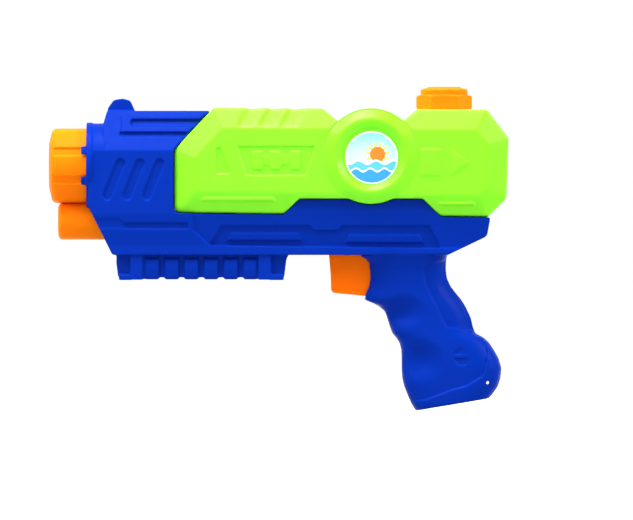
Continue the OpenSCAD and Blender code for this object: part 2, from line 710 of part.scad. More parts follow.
module tank_reliefs_sunk() {
    flat_y = tank_w / 2 - 1;
    far = tank_w;
    x = tank_front_x;
    both_sides([[x + 25, drum_z - 10.8], [x + 33.2, drum_z - 10.8], [x + 28, drum_z + 5.2],
                [x + 24.8, drum_z + 5.2]], flat_y, far);
    difference() {
        both_sides([[x + 43.2, drum_z - 11.7], [x + 78.8, drum_z - 11.7], [x + 84.4, drum_z + 6],
                    [x + 37.6, drum_z + 6]], flat_y, far);
        for (block_mid = [x + 49.8, x + 60.4, x + 72.4])
            across(box_points(block_mid - 2.9, drum_z - 8, block_mid + 2.9, drum_z + 2.9), tank_w / 2);
        across(box_points(x + 50.2, drum_z - 5.2, x + 72.2, drum_z + 0.2), tank_w / 2 - 0.4);
    }
    for (i = [0:2]) finger_scallop(x + 43.8 + 12.7 * i);
}

module tank_reliefs_raised() {
    far = tank_w / 2 + 0.8;
    across(box_points(0.6, drum_z - 11.6, 12, drum_z + 4.1), far);
    across([[18.5, drum_z - 11.6], [29, drum_z - 3.8], [18.5, drum_z + 3.6]], far);
    intersection() {
        tank_block(-0.8);
        union() {
            across(box_points(tank_front_x + 16.5, front_floor_z + 6.7, notch_front_x - 14.7,
                              front_floor_z + 8.2), tank_w);
            across(box_points(11.1, rear_floor_z + 7, 32.2, rear_floor_z + 8.5), tank_w);
        }
    }
}

module water_tank() {
    color("Chartreuse") difference() {
        union() {
            difference() {
                union() {
                    tank_form(0);
                    tank_reliefs_raised();
                }
                tank_reliefs_sunk();
            }
            drum();
            rod_z(neck_r, rear_top_z - 6, neck_top_z, neck_x);
            translate([neck_x, 0, 0])
                thread_ridge(neck_r - 0.3, neck_r + 1.1, rear_top_z + 2.4, 0, 390, thread_lead);
            for (p = [posts[2], posts[4]])
                block(p[0] - 7, p[0] + 7, -2, 2, p[1] - post_r - 1.6, p[1] + 12);
        }
        drum_dishes();
        tank_form(tank_wall);
        rod_y(drum_r - tank_wall - 1, tank_wall - dish_y, dish_y - tank_wall, drum_x, drum_z);
        rod_z(neck_bore_d / 2, rear_top_z - 12, neck_top_z + 1, neck_x);
        rod_z(5.5, mid_floor_z - 2, mid_floor_z + 8, intake_x);
        for (p = [posts[2], posts[4]]) rod_y(post_r + 0.35, -4, 4, p[0], p[1]);
    }
}

module filler_cap() {
    roof_z = neck_top_z + 1.7;
    color("DarkOrange") difference() {
        union() {
            intersection() {
                rod_z_hex(cap_d / 2, cap_z, cap_z + cap_hex_h);
                translate([neck_x, 0, cap_z]) rotate_extrude()
                    polygon([[0, 0], [cap_d / 2 - 0.6, 0], [cap_d / 2 + 0.2, 1.2], [cap_d / 2 + 0.2, 7.2],
                             [cap_d / 2 - 1, cap_hex_h], [0, cap_hex_h]]);
            }
            translate([neck_x, 0, cap_z]) rotate_extrude()
                polygon([[0, cap_hex_h - 0.4], [14.1, cap_hex_h - 0.4], [14.1, cap_disc_h - 1.2],
                         [13.4, cap_disc_h - 0.3], [10.9, cap_disc_h], [9.8, cap_h - 0.1], [0, cap_h]]);
        }
        rod_z(cap_bore_r, cap_z - 1, roof_z, neck_x);
    }
    color("DarkOrange") translate([neck_x, 0, 0])
        thread_ridge(cap_bore_r + 0.3, cap_bore_r - 1.05, rear_top_z + 2.4 + thread_lead / 2, -110, 240,
                     thread_lead);
}

module rod_z_hex(r, z0, z1) {
    translate([neck_x, 0, z0]) cylinder(r = r, h = z1 - z0, $fn = 6);
}

module cap_gasket() {
    color("DimGray") rod_z(cap_bore_r - 0.3, neck_top_z + 0.05, neck_top_z + 1.65, neck_x);
}

module muzzle() {
    r = muzzle_d / 2;
    rear = flange_x + flange_t - muzzle_x;
    color("DarkOrange") difference() {
        translate([muzzle_x, 0, bore_z]) rotate([0, 90, 0]) difference() {
            rotate_extrude() polygon([[0, 0], [r - 9, 0], [r - 1.7, 1.8], [r - 0.4, 3.2], [r, 4.6],
                                      [r, rear - flange_t], [flange_r, rear - flange_t], [flange_r, rear],
                                      [0, rear]]);
            for (i = [0:7])
                rotate([0, 0, 45 * i + 16]) translate([0, 0, -1]) rotate_extrude(angle = 13)
                    translate([r - flute_depth, 0]) square([4, rear - flange_t + 0.8]);
            translate([0, 0, -1]) cylinder(r1 = r - 9.4, r2 = r - 11, h = 6);
            translate([0, 0, muzzle_front_t]) cylinder(r = r - 4, h = rear);
            translate([0, 0, -1]) cylinder(r = 4.2 + slip, h = 12);
        }
        rod_x(lower_d / 2 + 0.35, front_x + 1, front_x + 20, lower_z);
    }
}

module nozzle() {
    x = nozzle_seat_x;
    color("WhiteSmoke") difference() {
        union() {
            rod_x(4.2, x - 4.5, x + 1.5, bore_z);
            rod_x(6.6, x + 1.5, x + 3.5, bore_z);
            rod_x(3.2, x + 3.4, nozzle_end_x - barb_len + 1, bore_z);
            rod_x(hose_bore_d / 2 - 0.2, nozzle_end_x - barb_len, nozzle_end_x, bore_z);
            for (i = [0:2])
                translate([nozzle_end_x - 2.6 - 3 * i, 0, bore_z]) rotate([0, 90, 0])
                    cylinder(r1 = hose_bore_d / 2 + 0.15, r2 = hose_bore_d / 2 - 0.25, h = 2.6);
        }
        rod_x(jet_d / 2, x - 6, x + 1, bore_z);
        rod_x(1.3, x, nozzle_end_x + 1, bore_z);
    }
}

module nozzle_seal() {
    color("DimGray") o_ring_x(5.2, 0.72, nozzle_seat_x + 0.75, bore_z);
}

module lower_barrel() {
    r = lower_d / 2;
    rear = chin_x + 2.3 - lower_x;
    color("DarkOrange") translate([lower_x, 0, lower_z]) rotate([0, 90, 0]) difference() {
        rotate_extrude() polygon([[0, 0], [r - 1.2, 0], [r, 1.2], [r, rear - 2.2], [r + 1.6, rear - 2.2],
                                  [r + 1.6, rear], [0, rear]]);
        translate([0, 0, -1]) cylinder(r = r - 2.6, h = 4);
        translate([0, 0, 5]) cylinder(r = r - 2.4, h = rear);
    }
}

module badge_left() {
    color("LightSkyBlue") rod_y(label_d / 2, -dish_y - label_t, -dish_y, drum_x, drum_z);
}

module badge_right() {
    color("LightSkyBlue") rod_y(label_d / 2, dish_y, dish_y + label_t, drum_x, drum_z);
}

module trigger() {
    color("OrangeRed") difference() {
        union() {
            across(outline(trigger_corners), trigger_half);
            block(trigger_x + 0.6, trigger_back_x - 1, -trigger_half - 2.4, trigger_half + 2.4,
                  floor_z + wall + 0.4, floor_z + wall + 2.2);
            block(arm_x, rod_x0, -6, 6, floor_z + wall, pump_z + 5);
        }
        rod_x(2 + slip, arm_x - 1, rod_x0 + 1, pump_z);
    }
}

module plunger() {
    color("WhiteSmoke") difference() {
        union() {
            rod_x(2, arm_x, rod_x0 + 0.5, pump_z);
            rod_x(2.9, rod_x0, piston_x + 1, pump_z);
            rod_x(bore_r - 0.2, piston_x, piston_end_x, pump_z);
            rod_x(2.6, piston_end_x - 1, piston_end_x + 2, pump_z);
        }
        difference() {
            rod_x(bore_r + 1, piston_x + 2.4, piston_x + 4.6, pump_z);
            rod_x(bore_r - 1.7, piston_x + 2, piston_x + 5, pump_z);
        }
    }
}

module plunger_seal() {
    color("DimGray") o_ring_x(bore_r - 0.87, 0.82, piston_x + 3.5, pump_z);
}

// Points of a spring's wire: straight ends, then turns about an axis along X.
function coil_path(x0, x1, r, turns, wire, z, y) =
    let (steps = turns * 8)
    [for (i = [0:steps])
        let (a = 360 * i / 8, x = x0 + wire / 2 + (x1 - x0 - wire) * i / steps)
        [x, y + r * cos(a), z + r * sin(a)]];
function coil_rings(path, r) =
    [for (i = [0:len(path) - 1])
        let (t = tangent(path, i), u0 = [1, 0, 0], u = unit(u0 - t * (t * u0)), v = cross(t, u))
        [for (k = [0:5]) path[i] + r * (u * cos(60 * k) + v * sin(60 * k))]];

trigger_coil = coil_path(piston_end_x + 0.1, plug_x - 0.1, bore_r - 1.5, spring_turns, spring_wire,
                         pump_z, 0);
outlet_coil = coil_path(barb_x + 3.1, seat_x - 2 * ball_r - 0.1, 2.1, 4, 0.5, pump_z, side_y);
// Least gap between neighbouring turns, from the pitch along the axis.
echo(trigger_spring_gap = (plug_x - piston_end_x - 0.2 - spring_wire) / spring_turns - spring_wire,
     outlet_spring_gap = (seat_x - 2 * ball_r - barb_x - 3.7) / 4 - 0.5);

module trigger_spring() {
    color("Silver") loft(coil_rings(trigger_coil, spring_wire / 2));
}

module outlet_spring() {
    color("Silver") loft(coil_rings(outlet_coil, 0.25));
}

module pump_cylinder() {
    color("WhiteSmoke") difference() {
        union() {
            rod_x(cylinder_r, mouth_x, head_x - 0.3, pump_z);
            rod_z(cup_r, pump_z, cup_top_z, intake_x);
        }
        rod_x(bore_r, mouth_x - 1, head_x + 1, pump_z);
        rod_z(cup_r - 1.8, cup_floor_z, cup_top_z + 1, intake_x);
        rod_z(1.4, pump_z, cup_floor_z + 1, intake_x);
        block(intake_x - 2.8, intake_x + 2.8, -0.6, 0.6, pump_z, cup_floor_z + 0.5);
    }
}

module cylinder_cap() {
    color("Gainsboro") difference() {
        rod_x(cylinder_r + 1, cap_face_x, mouth_x + 2.6, pump_z);
        rod_x(cylinder_r + slip, mouth_x - 0.02, mouth_x + 4, pump_z);
        rod_x(3.2, mouth_x - 4, mouth_x + 1, pump_z);
    }
}

module valve_head() {
    color("Gainsboro") difference() {
        union() {
            rod_x(cylinder_r, head_x, head_x + 9, pump_z);
            rod_x(bore_r - slip, plug_x, head_x + 1, pump_z);
            block(head_x, head_x + 9, 0, side_y, pump_z - 4.4, pump_z + 4.4);
            rod_x(5, barb_x, head_x + 9, pump_z, side_y);
        }
        rod_x(2, plug_x - 1, head_x + 5, pump_z);
        rod_y(1.6, 0, side_y, head_x + 5, pump_z);
        rod_x(1.6, seat_x - 1, head_x + 6.4, pump_z, side_y);
        rod_x(3.2, barb_x - 1, seat_x, pump_z, side_y);
        difference() {
            rod_x(bore_r + 1, head_x - 1.9, head_x - 0.5, pump_z);
            rod_x(bore_r - 1.3, head_x - 3, head_x + 1, pump_z);
        }
    }
}

module head_seal() {
    color("DimGray") o_ring_x(bore_r - 0.66, 0.6, head_x - 1.2, pump_z);
}

module intake_ball() {
    color("Silver") translate([intake_x, 0, cup_floor_z + ball_r + 0.03]) sphere(ball_r);
}

module intake_spigot() {
    color("Gainsboro") difference() {
        union() {
            rod_z(cup_r - 1.8 - slip, ball_stop_z, cup_top_z + 0.5, intake_x);
            rod_z(cup_r, cup_top_z, cup_top_z + 1, intake_x);
            rod_z(3.3, cup_top_z + 0.5, mid_floor_z + 5.4, intake_x);
        }
        rod_z(1.6, ball_stop_z - 2, mid_floor_z + 8, intake_x);
    }
}

module tank_grommet() {
    color("DimGray") translate([intake_x, 0, 0]) rotate_extrude()
        polygon([[3.3 + slip, mid_floor_z - 1.7], [7, mid_floor_z - 1.7], [7, mid_floor_z - 0.03],
                 [5.45, mid_floor_z - 0.03], [5.45, mid_floor_z + tank_wall + 0.05],
                 [6.8, mid_floor_z + tank_wall + 0.05], [6.4, mid_floor_z + tank_wall + 1.6],
                 [3.3 + slip, mid_floor_z + tank_wall + 1.6]]);
}

module outlet_ball() {
    lift = sqrt(ball_r * ball_r - 1.6 * 1.6);
    color("Silver") translate([seat_x - lift - 0.03, side_y, pump_z]) sphere(ball_r);
}

module outlet_barb() {
    color("WhiteSmoke") difference() {
        union() {
            rod_x(3.2 - slip, barb_x - 0.5, barb_x + 3, pump_z, side_y);
            rod_x(4.8, barb_x - 2, barb_x, pump_z, side_y);
            rod_x(hose_bore_d / 2 - 0.2, barb_x - barb_len, barb_x - 1.5, pump_z, side_y);
            for (i = [0:1])
                translate([barb_x - barb_len + 3 * i, side_y, pump_z]) rotate([0, 90, 0])
                    cylinder(r1 = hose_bore_d / 2 - 0.25, r2 = hose_bore_d / 2 + 0.15, h = 2.6);
        }
        rod_x(1.3, barb_x - barb_len - 1, barb_x + 4, pump_z, side_y);
    }
}

module outlet_tube() {
    color("GhostWhite") hose(hose_points, hose_d / 2, hose_bore_d / 2, 10);
}

module shell_screws() {
    color("Silver") for (p = posts) difference() {
        union() {
            rod_y(screw_d / 2, screw_end_y, screw_seat_y + 0.5, p[0], p[1]);
            rod_y(screw_head_d / 2, screw_seat_y, screw_seat_y + 2, p[0], p[1]);
        }
        block(p[0] - 1.6, p[0] + 1.6, screw_seat_y + 1, screw_seat_y + 3, p[1] - 0.3, p[1] + 0.3);
        block(p[0] - 0.3, p[0] + 0.3, screw_seat_y + 1, screw_seat_y + 3, p[1] - 1.6, p[1] + 1.6);
    }
}

left_shell();
right_shell();
water_tank();
filler_cap();
cap_gasket();
muzzle();
nozzle();
nozzle_seal();
lower_barrel();
badge_left();
badge_right();
trigger();
plunger();
plunger_seal();
trigger_spring();
pump_cylinder();
cylinder_cap();
valve_head();
head_seal();
intake_ball();
intake_spigot();
tank_grommet();
outlet_ball();
outlet_spring();
outlet_barb();
outlet_tube();
shell_screws();
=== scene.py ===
"""Dress the toy water squirter: moulded skins, labels, fasteners, studio and camera.

Every mesh is in metres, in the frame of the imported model: the muzzle points along -X, the
grip hangs along -Z and the near side of the toy faces -Y.
"""

from __future__ import annotations

import logging
import math
from contextlib import contextmanager
from dataclasses import dataclass, field
from enum import Enum
from typing import Callable, Iterator, Sequence

import bpy
import numpy as np
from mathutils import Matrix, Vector

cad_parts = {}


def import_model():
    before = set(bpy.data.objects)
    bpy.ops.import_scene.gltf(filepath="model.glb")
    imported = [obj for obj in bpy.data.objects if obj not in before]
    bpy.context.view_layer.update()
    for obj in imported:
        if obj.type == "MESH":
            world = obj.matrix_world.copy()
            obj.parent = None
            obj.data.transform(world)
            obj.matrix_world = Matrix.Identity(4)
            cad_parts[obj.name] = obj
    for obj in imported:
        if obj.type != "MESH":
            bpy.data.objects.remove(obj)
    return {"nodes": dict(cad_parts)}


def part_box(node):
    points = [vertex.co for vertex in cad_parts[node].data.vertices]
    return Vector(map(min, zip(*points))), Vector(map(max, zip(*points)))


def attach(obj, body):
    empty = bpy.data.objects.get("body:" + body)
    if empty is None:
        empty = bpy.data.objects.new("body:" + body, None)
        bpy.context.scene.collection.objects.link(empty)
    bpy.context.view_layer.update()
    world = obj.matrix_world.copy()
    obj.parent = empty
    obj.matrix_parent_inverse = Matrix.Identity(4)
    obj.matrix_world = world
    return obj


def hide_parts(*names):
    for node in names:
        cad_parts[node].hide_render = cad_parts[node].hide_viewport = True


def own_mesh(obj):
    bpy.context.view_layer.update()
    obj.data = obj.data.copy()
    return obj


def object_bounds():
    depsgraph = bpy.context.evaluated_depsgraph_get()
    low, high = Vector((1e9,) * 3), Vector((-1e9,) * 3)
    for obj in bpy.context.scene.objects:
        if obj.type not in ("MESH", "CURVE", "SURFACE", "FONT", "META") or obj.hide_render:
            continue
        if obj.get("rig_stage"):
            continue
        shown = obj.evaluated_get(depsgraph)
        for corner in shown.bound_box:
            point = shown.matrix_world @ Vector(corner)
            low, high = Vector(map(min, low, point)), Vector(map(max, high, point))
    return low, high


LOG = logging.getLogger("water_squirter")

MM = 0.001
IMAGE_WIDTH = 633
IMAGE_HEIGHT = 520
# Marks convex edges for a paler tone: part wear, part painted highlight
EDGE_WEAR_HIGHLIGHT_ATTRIBUTE = "edge_wear_and_painted_highlight"

# Points nearer to each other than this are merged
MERGE_DISTANCE = 0.001 * MM
# A face looks along an axis if its normal's share along it is above this
FACING = 0.9
# Strength of one smoothing pass
SMOOTHING = 0.5
# The whole span of a share, and the span that most of a noise pattern lies in
WHOLE = (0.0, 1.0)
NOISE_SPAN = (0.3, 0.7)

Colour = tuple[float, float, float]
Point = tuple[float, float]
Weight = Callable[[np.ndarray], np.ndarray]
Shape = Callable[[np.ndarray, np.ndarray], np.ndarray]


class Body(str, Enum):
    """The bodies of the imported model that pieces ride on."""

    HOUSING = "housing"
    TRIGGER = "trigger_group"
    CAP = "cap"
    CAP_SEAL = "cap_seal"
    INTAKE = "intake_check"
    OUTLET = "outlet_check"


class Slot(str, Enum):
    """The record's material slots."""

    BLUE = "blue_shell"
    GREEN = "green_tank"
    CAP = "orange_cap"
    BARREL = "orange_barrel"
    TRIGGER = "orange_trigger"
    WHITE = "white_plastic"
    HOSE = "hose_plastic"
    RUBBER = "rubber_black"
    STEEL = "steel"
    LABEL = "label"


class Side(Enum):
    """The two sides of the toy, by the sign of Y."""

    LEFT = -1
    RIGHT = 1


# Working on one object at a time


def pick(obj: bpy.types.Object) -> None:
    """Select one object alone and make it the active one."""
    if bpy.context.mode != "OBJECT":
        bpy.ops.object.mode_set(mode="OBJECT")
    bpy.ops.object.select_all(action="DESELECT")
    obj.hide_set(False)
    obj.select_set(True)
    bpy.context.view_layer.objects.active = obj


@contextmanager
def edit_mode(obj: bpy.types.Object, selected: bool = True) -> Iterator[None]:
    """Open one object in edit mode.

    Args:
        obj: The mesh object to edit.
        selected: Whether everything starts selected, or nothing does.
    """
    pick(obj)
    bpy.ops.object.mode_set(mode="EDIT")
    bpy.ops.mesh.select_all(action="SELECT" if selected else "DESELECT")
    yield
    bpy.ops.object.mode_set(mode="OBJECT")


def apply_modifier(obj: bpy.types.Object, kind: str, **settings: object) -> None:
    """Add a modifier, set it up and apply it.

    Args:
        obj: The mesh object to change.
        kind: Blender's name of the modifier type.
        settings: Values of the modifier's properties.
    """
    pick(obj)
    modifier = obj.modifiers.new(kind.title(), kind)
    for name, value in settings.items():
        setattr(modifier, name, value)
    bpy.ops.object.modifier_apply(modifier=modifier.name)


def select_faces(obj: bpy.types.Object, wanted: Callable[[bpy.types.MeshPolygon], bool]) -> None:
    """Select the faces that a test picks, for the next edit-mode operator.

    Args:
        obj: The mesh object, in edit mode with nothing selected.
        wanted: Says of a face whether to select it.
    """
    bpy.ops.object.mode_set(mode="OBJECT")
    for face in obj.data.polygons:
        face.select = wanted(face)
    bpy.ops.object.mode_set(mode="EDIT")
    bpy.ops.mesh.select_mode(type="FACE")


def settle(obj: bpy.types.Object, name: str) -> bpy.types.Object:
    """Name a piece and move its place, turn and scale into its mesh.

    Args:
        obj: The finished object.
        name: The piece's name.

    Returns:
        The same object.
    """
    pick(obj)
    bpy.ops.object.transform_apply(location=True, rotation=True, scale=True)
    obj.name = name
    obj.data.name = name
    return obj


def smooth_shading(obj: bpy.types.Object, degrees: float) -> None:
    """Shade smooth, apart from edges sharper than the given angle."""
    pick(obj)
    bpy.ops.object.shade_smooth_by_angle(angle=math.radians(degrees))


def copy_of(node: bpy.types.Object) -> bpy.types.Object:
    """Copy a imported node's mesh, merged, into an object of its own.

    Args:
        node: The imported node.

    Returns:
        The copy, bare of the node's marks.
    """
    pick(node)
    bpy.ops.object.duplicate()
    copy = bpy.context.view_layer.objects.active
    for mark in [key for key in copy.keys() if key.startswith("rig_")]:
        del copy[mark]
    copy.parent = None
    with edit_mode(copy):
        bpy.ops.mesh.remove_doubles(threshold=MERGE_DISTANCE)
    return copy


def seat(piece: bpy.types.Object, node: str, body: Body) -> None:
    """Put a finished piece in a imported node's place.

    Args:
        piece: The finished piece.
        node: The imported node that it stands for.
        body: The body that it rides on.
    """
    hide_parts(node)
    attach(piece, body.value)


def rows_of(obj: bpy.types.Object, name: str) -> np.ndarray:
    """Read a property of the mesh's points.

    Args:
        obj: The mesh object.
        name: The property, co or normal.

    Returns:
        Rows of X, Y and Z, one for each point.
    """
    flat = np.empty(len(obj.data.vertices) * 3)
    obj.data.vertices.foreach_get(name, flat)
    return flat.reshape(-1, 3)


def points_of(obj: bpy.types.Object) -> np.ndarray:
    """The mesh's points as rows of X, Y and Z in millimetres."""
    return rows_of(obj, "co") / MM


def normals_of(obj: bpy.types.Object) -> np.ndarray:
    """The normals at the mesh's points, as rows of X, Y and Z."""
    return rows_of(obj, "normal")


def set_points(obj: bpy.types.Object, points: np.ndarray) -> None:
    """Put rows of X, Y and Z in millimetres back into the mesh."""
    obj.data.vertices.foreach_set("co", (points * MM).ravel())
    obj.data.update()


def ease(value: np.ndarray, low: float, high: float) -> np.ndarray:
    """A soft step from 0 at low to 1 at high."""
    t = np.clip((value - low) / (high - low), 0.0, 1.0)
    return t * t * (3.0 - 2.0 * t)


def side_distance(points: np.ndarray, corners: Sequence[Point]) -> np.ndarray:
    """Distance in the side view from an outline, positive inside it.

    Args:
        points: Rows of X, Y and Z in millimetres.
        corners: The outline's corners, X and Z in millimetres.

    Returns:
        One distance for each point, in millimetres.
    """
    x, z = points[:, 0], points[:, 2]
    nearest = np.full(len(points), np.inf)
    inside = np.zeros(len(points), bool)
    for (ax, az), (bx, bz) in zip(corners, [*corners[1:], corners[0]]):
        ux, uz = bx - ax, bz - az
        t = np.clip(((x - ax) * ux + (z - az) * uz) / (ux * ux + uz * uz), 0.0, 1.0)
        nearest = np.minimum(nearest, np.hypot(x - ax - t * ux, z - az - t * uz))
        if uz != 0:
            crosses = (az > z) != (bz > z)
            inside ^= crosses & (x < ax + ux * (z - az) / uz)
    return np.where(inside, nearest, -nearest)


# Finishes


class Recipe:
    """A material's node tree, built one node at a time around a principled shader."""

    def __init__(self, name: str) -> None:
        """Start an empty material.

        Args:
            name: The material's name.
        """
        self.material = bpy.data.materials.new(name)
        self.material.use_nodes = True
        self.tree = self.material.node_tree
        self.tree.nodes.clear()
        self.shader = self.add("ShaderNodeBsdfPrincipled")
        output = self.add("ShaderNodeOutputMaterial")
        self.link(self.shader.outputs["BSDF"], output.inputs["Surface"])
        self.place = self.add("ShaderNodeTexCoord").outputs["Object"]

    def add(self, kind: str, **settings: object) -> bpy.types.Node:
        """Add a node.

        Args:
            kind: Blender's name of the node type.
            settings: Values of the node's properties.

        Returns:
            The new node.
        """
        node = self.tree.nodes.new(kind)
        for name, value in settings.items():
            setattr(node, name, value)
        return node

    def link(self, start: bpy.types.NodeSocket, end: bpy.types.NodeSocket) -> None:
        """Join an output to an input."""
        self.tree.links.new(start, end)

    def feed(self, source: object, socket: bpy.types.NodeSocket) -> None:
        """Give an input its value, which is a socket or a constant.

        Args:
            source: The socket or the constant.
            socket: The input.
        """
        if isinstance(source, bpy.types.NodeSocket):
            self.link(source, socket)
        else:
            socket.default_value = source

    def set(self, **values: object) -> None:
        """Set constant inputs of the shader, with _ for a space in a name."""
        for name, value in values.items():
            self.shader.inputs[name.replace("_", " ")].default_value = value

    def noise(self, scale: float, detail: float = 2.0) -> bpy.types.NodeSocket:
        """Add a noise pattern.

        Args:
            scale: Waves to the metre.
            detail: How many finer layers it has.

        Returns:
            The pattern's value.
        """
        node = self.add("ShaderNodeTexNoise")
        node.inputs["Scale"].default_value = scale
        node.inputs["Detail"].default_value = detail
        self.link(self.place, node.inputs["Vector"])
        return node.outputs["Fac"]

    def spread(self, value: bpy.types.NodeSocket, source: Point, target: Point) -> bpy.types.NodeSocket:
        """Map a value from one span to another, held at the ends.

        Args:
            value: The value.
            source: The span that it comes from.
            target: The span that it goes to.

        Returns:
            The mapped value.
        """
        node = self.add("ShaderNodeMapRange")
        self.link(value, node.inputs["Value"])
        for name, number in zip(("From Min", "From Max", "To Min", "To Max"), (*source, *target)):
            node.inputs[name].default_value = number
        return node.outputs["Result"]

    def blend(self, share: bpy.types.NodeSocket, first: bpy.types.NodeSocket | Colour,
              second: bpy.types.NodeSocket | Colour) -> bpy.types.NodeSocket:
        """Mix two colours.

        Args:
            share: The second colour's share.
            first: The first colour.
            second: The second colour.

        Returns:
            The mixed colour.
        """
        node = self.add("ShaderNodeMix", data_type="RGBA")
        self.link(share, node.inputs[0])
        for socket, colour in ((node.inputs[6], first), (node.inputs[7], second)):
            self.feed((*colour, 1.0) if isinstance(colour, tuple) else colour, socket)
        return node.outputs[2]

    def math(self, operation: str, first: bpy.types.NodeSocket | float,
             second: bpy.types.NodeSocket | float = 0.0) -> bpy.types.NodeSocket:
        """Reckon with two values.

        Args:
            operation: Blender's name of the operation.
            first: The first value.
            second: The second value.

        Returns:
            The result.
        """
        node = self.add("ShaderNodeMath", operation=operation)
        for socket, value in zip(node.inputs, (first, second)):
            self.feed(value, socket)
        return node.outputs[0]

    def bump(self, height: bpy.types.NodeSocket, depth: float,
             below: bpy.types.NodeSocket | None = None) -> bpy.types.NodeSocket:
        """Raise the surface by a pattern.

        Args:
            height: The pattern.
            depth: Its height, in metres.
            below: Another bump that it lies on.

        Returns:
            The bumped normal.
        """
        node = self.add("ShaderNodeBump")
        node.inputs["Distance"].default_value = depth
        self.link(height, node.inputs["Height"])
        if below is not None:
            self.link(below, node.inputs["Normal"])
        return node.outputs["Normal"]


@dataclass(frozen=True)
class PlasticFinish:
    """Moulded plastic: flow marks in the colour, a fine grain, and convex edges in a paler tone that is
    part wear and part painted highlight.

    Attributes:
        name: The material's name.
        colour: The resin's colour, linear.
        pale: The paler tone of flow marks.
        rub_and_highlight: The paler tone of convex edges, part wear and part painted highlight.
        roughness: Middle of the roughness.
        level: Specular level of the surface.
        flow: How far flow marks change the colour, from 0 to 1.
        rub_highlight_share: How far convex edges take that worn, painted-highlight tone, from 0 to 1.
        grain: Height of the moulded grain, in metres.
        milky: Share of the light that travels inside the plastic.
        reach: How far that light travels, in metres.
        flow_marks: Scale and detail of the flow marks.
        flow_span: Span of that noise that the marks come from.
        patch_scale: Scale of the patches in which convex edges take that tone.
        patch_share: Least and most of that tone in these patches.
        rough_marks: Scale and detail of the changes in roughness.
        smoother: How far the roughness goes down.
        rougher: How far it goes up.
        wave_scale: Scale of the slow waves in the surface.
        wave_depth: Height of these waves, in metres.
        grain_marks: Scale and detail of the grain.
    """

    name: str
    colour: Colour
    pale: Colour
    rub_and_highlight: Colour
    roughness: float = 0.36
    level: float = 0.25
    flow: float = 0.3
    rub_highlight_share: float = 0.35
    grain: float = 0.00002
    milky: float = 0.0
    reach: float = 0.006
    flow_marks: Point = (26.0, 4.0)
    flow_span: Point = (0.35, 0.75)
    patch_scale: float = 140.0
    patch_share: Point = (0.55, 1.0)
    rough_marks: Point = (320.0, 3.0)
    smoother: float = 0.05
    rougher: float = 0.06
    wave_scale: float = 42.0
    wave_depth: float = 0.00012
    grain_marks: Point = (1500.0, 1.0)

    def material(self) -> bpy.types.Material:
        """Build the material.

        Returns:
            The new material.
        """
        recipe = Recipe(self.name)
        flow = recipe.spread(recipe.noise(*self.flow_marks), self.flow_span, (0.0, self.flow))
        tone = recipe.blend(flow, self.colour, self.pale)
        # Convex edges are blended towards a paler tone, in patches: part wear, part painted highlight
        edge = recipe.add("ShaderNodeAttribute", attribute_name=EDGE_WEAR_HIGHLIGHT_ATTRIBUTE).outputs["Fac"]
        patches = recipe.spread(recipe.noise(self.patch_scale), NOISE_SPAN, self.patch_share)
        patchy = recipe.math("MULTIPLY", edge, patches)
        tone = recipe.blend(recipe.spread(patchy, WHOLE, (0.0, self.rub_highlight_share)), tone, self.rub_and_highlight)
        recipe.link(tone, recipe.shader.inputs["Base Color"])
        rough = recipe.spread(recipe.noise(*self.rough_marks), NOISE_SPAN,
                              (self.roughness - self.smoother, self.roughness + self.rougher))
        recipe.link(rough, recipe.shader.inputs["Roughness"])
        wave = recipe.bump(recipe.noise(self.wave_scale), self.wave_depth)
        grain = recipe.bump(recipe.noise(*self.grain_marks), self.grain, wave)
        recipe.link(grain, recipe.shader.inputs["Normal"])
        recipe.set(Specular_IOR_Level=self.level, Subsurface_Weight=self.milky,
                   Subsurface_Scale=self.reach, Subsurface_Radius=(1.0, 1.0, 1.0))
        return recipe.material


@dataclass(frozen=True)
class RubberFinish:
    """Matt black rubber with a dusty bloom.

    Attributes:
        name: The material's name.
        colour: The rubber's colour, linear.
        bloom: Colour of the bloom.
        dust: Scale and detail of the bloom.
        dust_span: Span of that noise that the bloom comes from.
        dust_share: The most bloom, from 0 to 1.
        skin_scale: Scale of the fine bumps in the skin.
        skin_depth: Their height, in metres.
        roughness: Roughness of the skin.
        level: Specular level of the skin.
    """

    name: str = "seal_rubber"
    colour: Colour = (0.012, 0.012, 0.013)
    bloom: Colour = (0.05, 0.05, 0.055)
    dust: Point = (300.0, 5.0)
    dust_span: Point = (0.4, 0.7)
    dust_share: float = 0.6
    skin_scale: float = 2600.0
    skin_depth: float = 0.00003
    roughness: float = 0.72
    level: float = 0.3

    def material(self) -> bpy.types.Material:
        """Build the material.

        Returns:
            The new material.
        """
        recipe = Recipe(self.name)
        dust = recipe.spread(recipe.noise(*self.dust), self.dust_span, (0.0, self.dust_share))
        recipe.link(recipe.blend(dust, self.colour, self.bloom), recipe.shader.inputs["Base Color"])
        skin = recipe.bump(recipe.noise(self.skin_scale), self.skin_depth)
        recipe.link(skin, recipe.shader.inputs["Normal"])
        recipe.set(Roughness=self.roughness, Specular_IOR_Level=self.level)
        return recipe.material


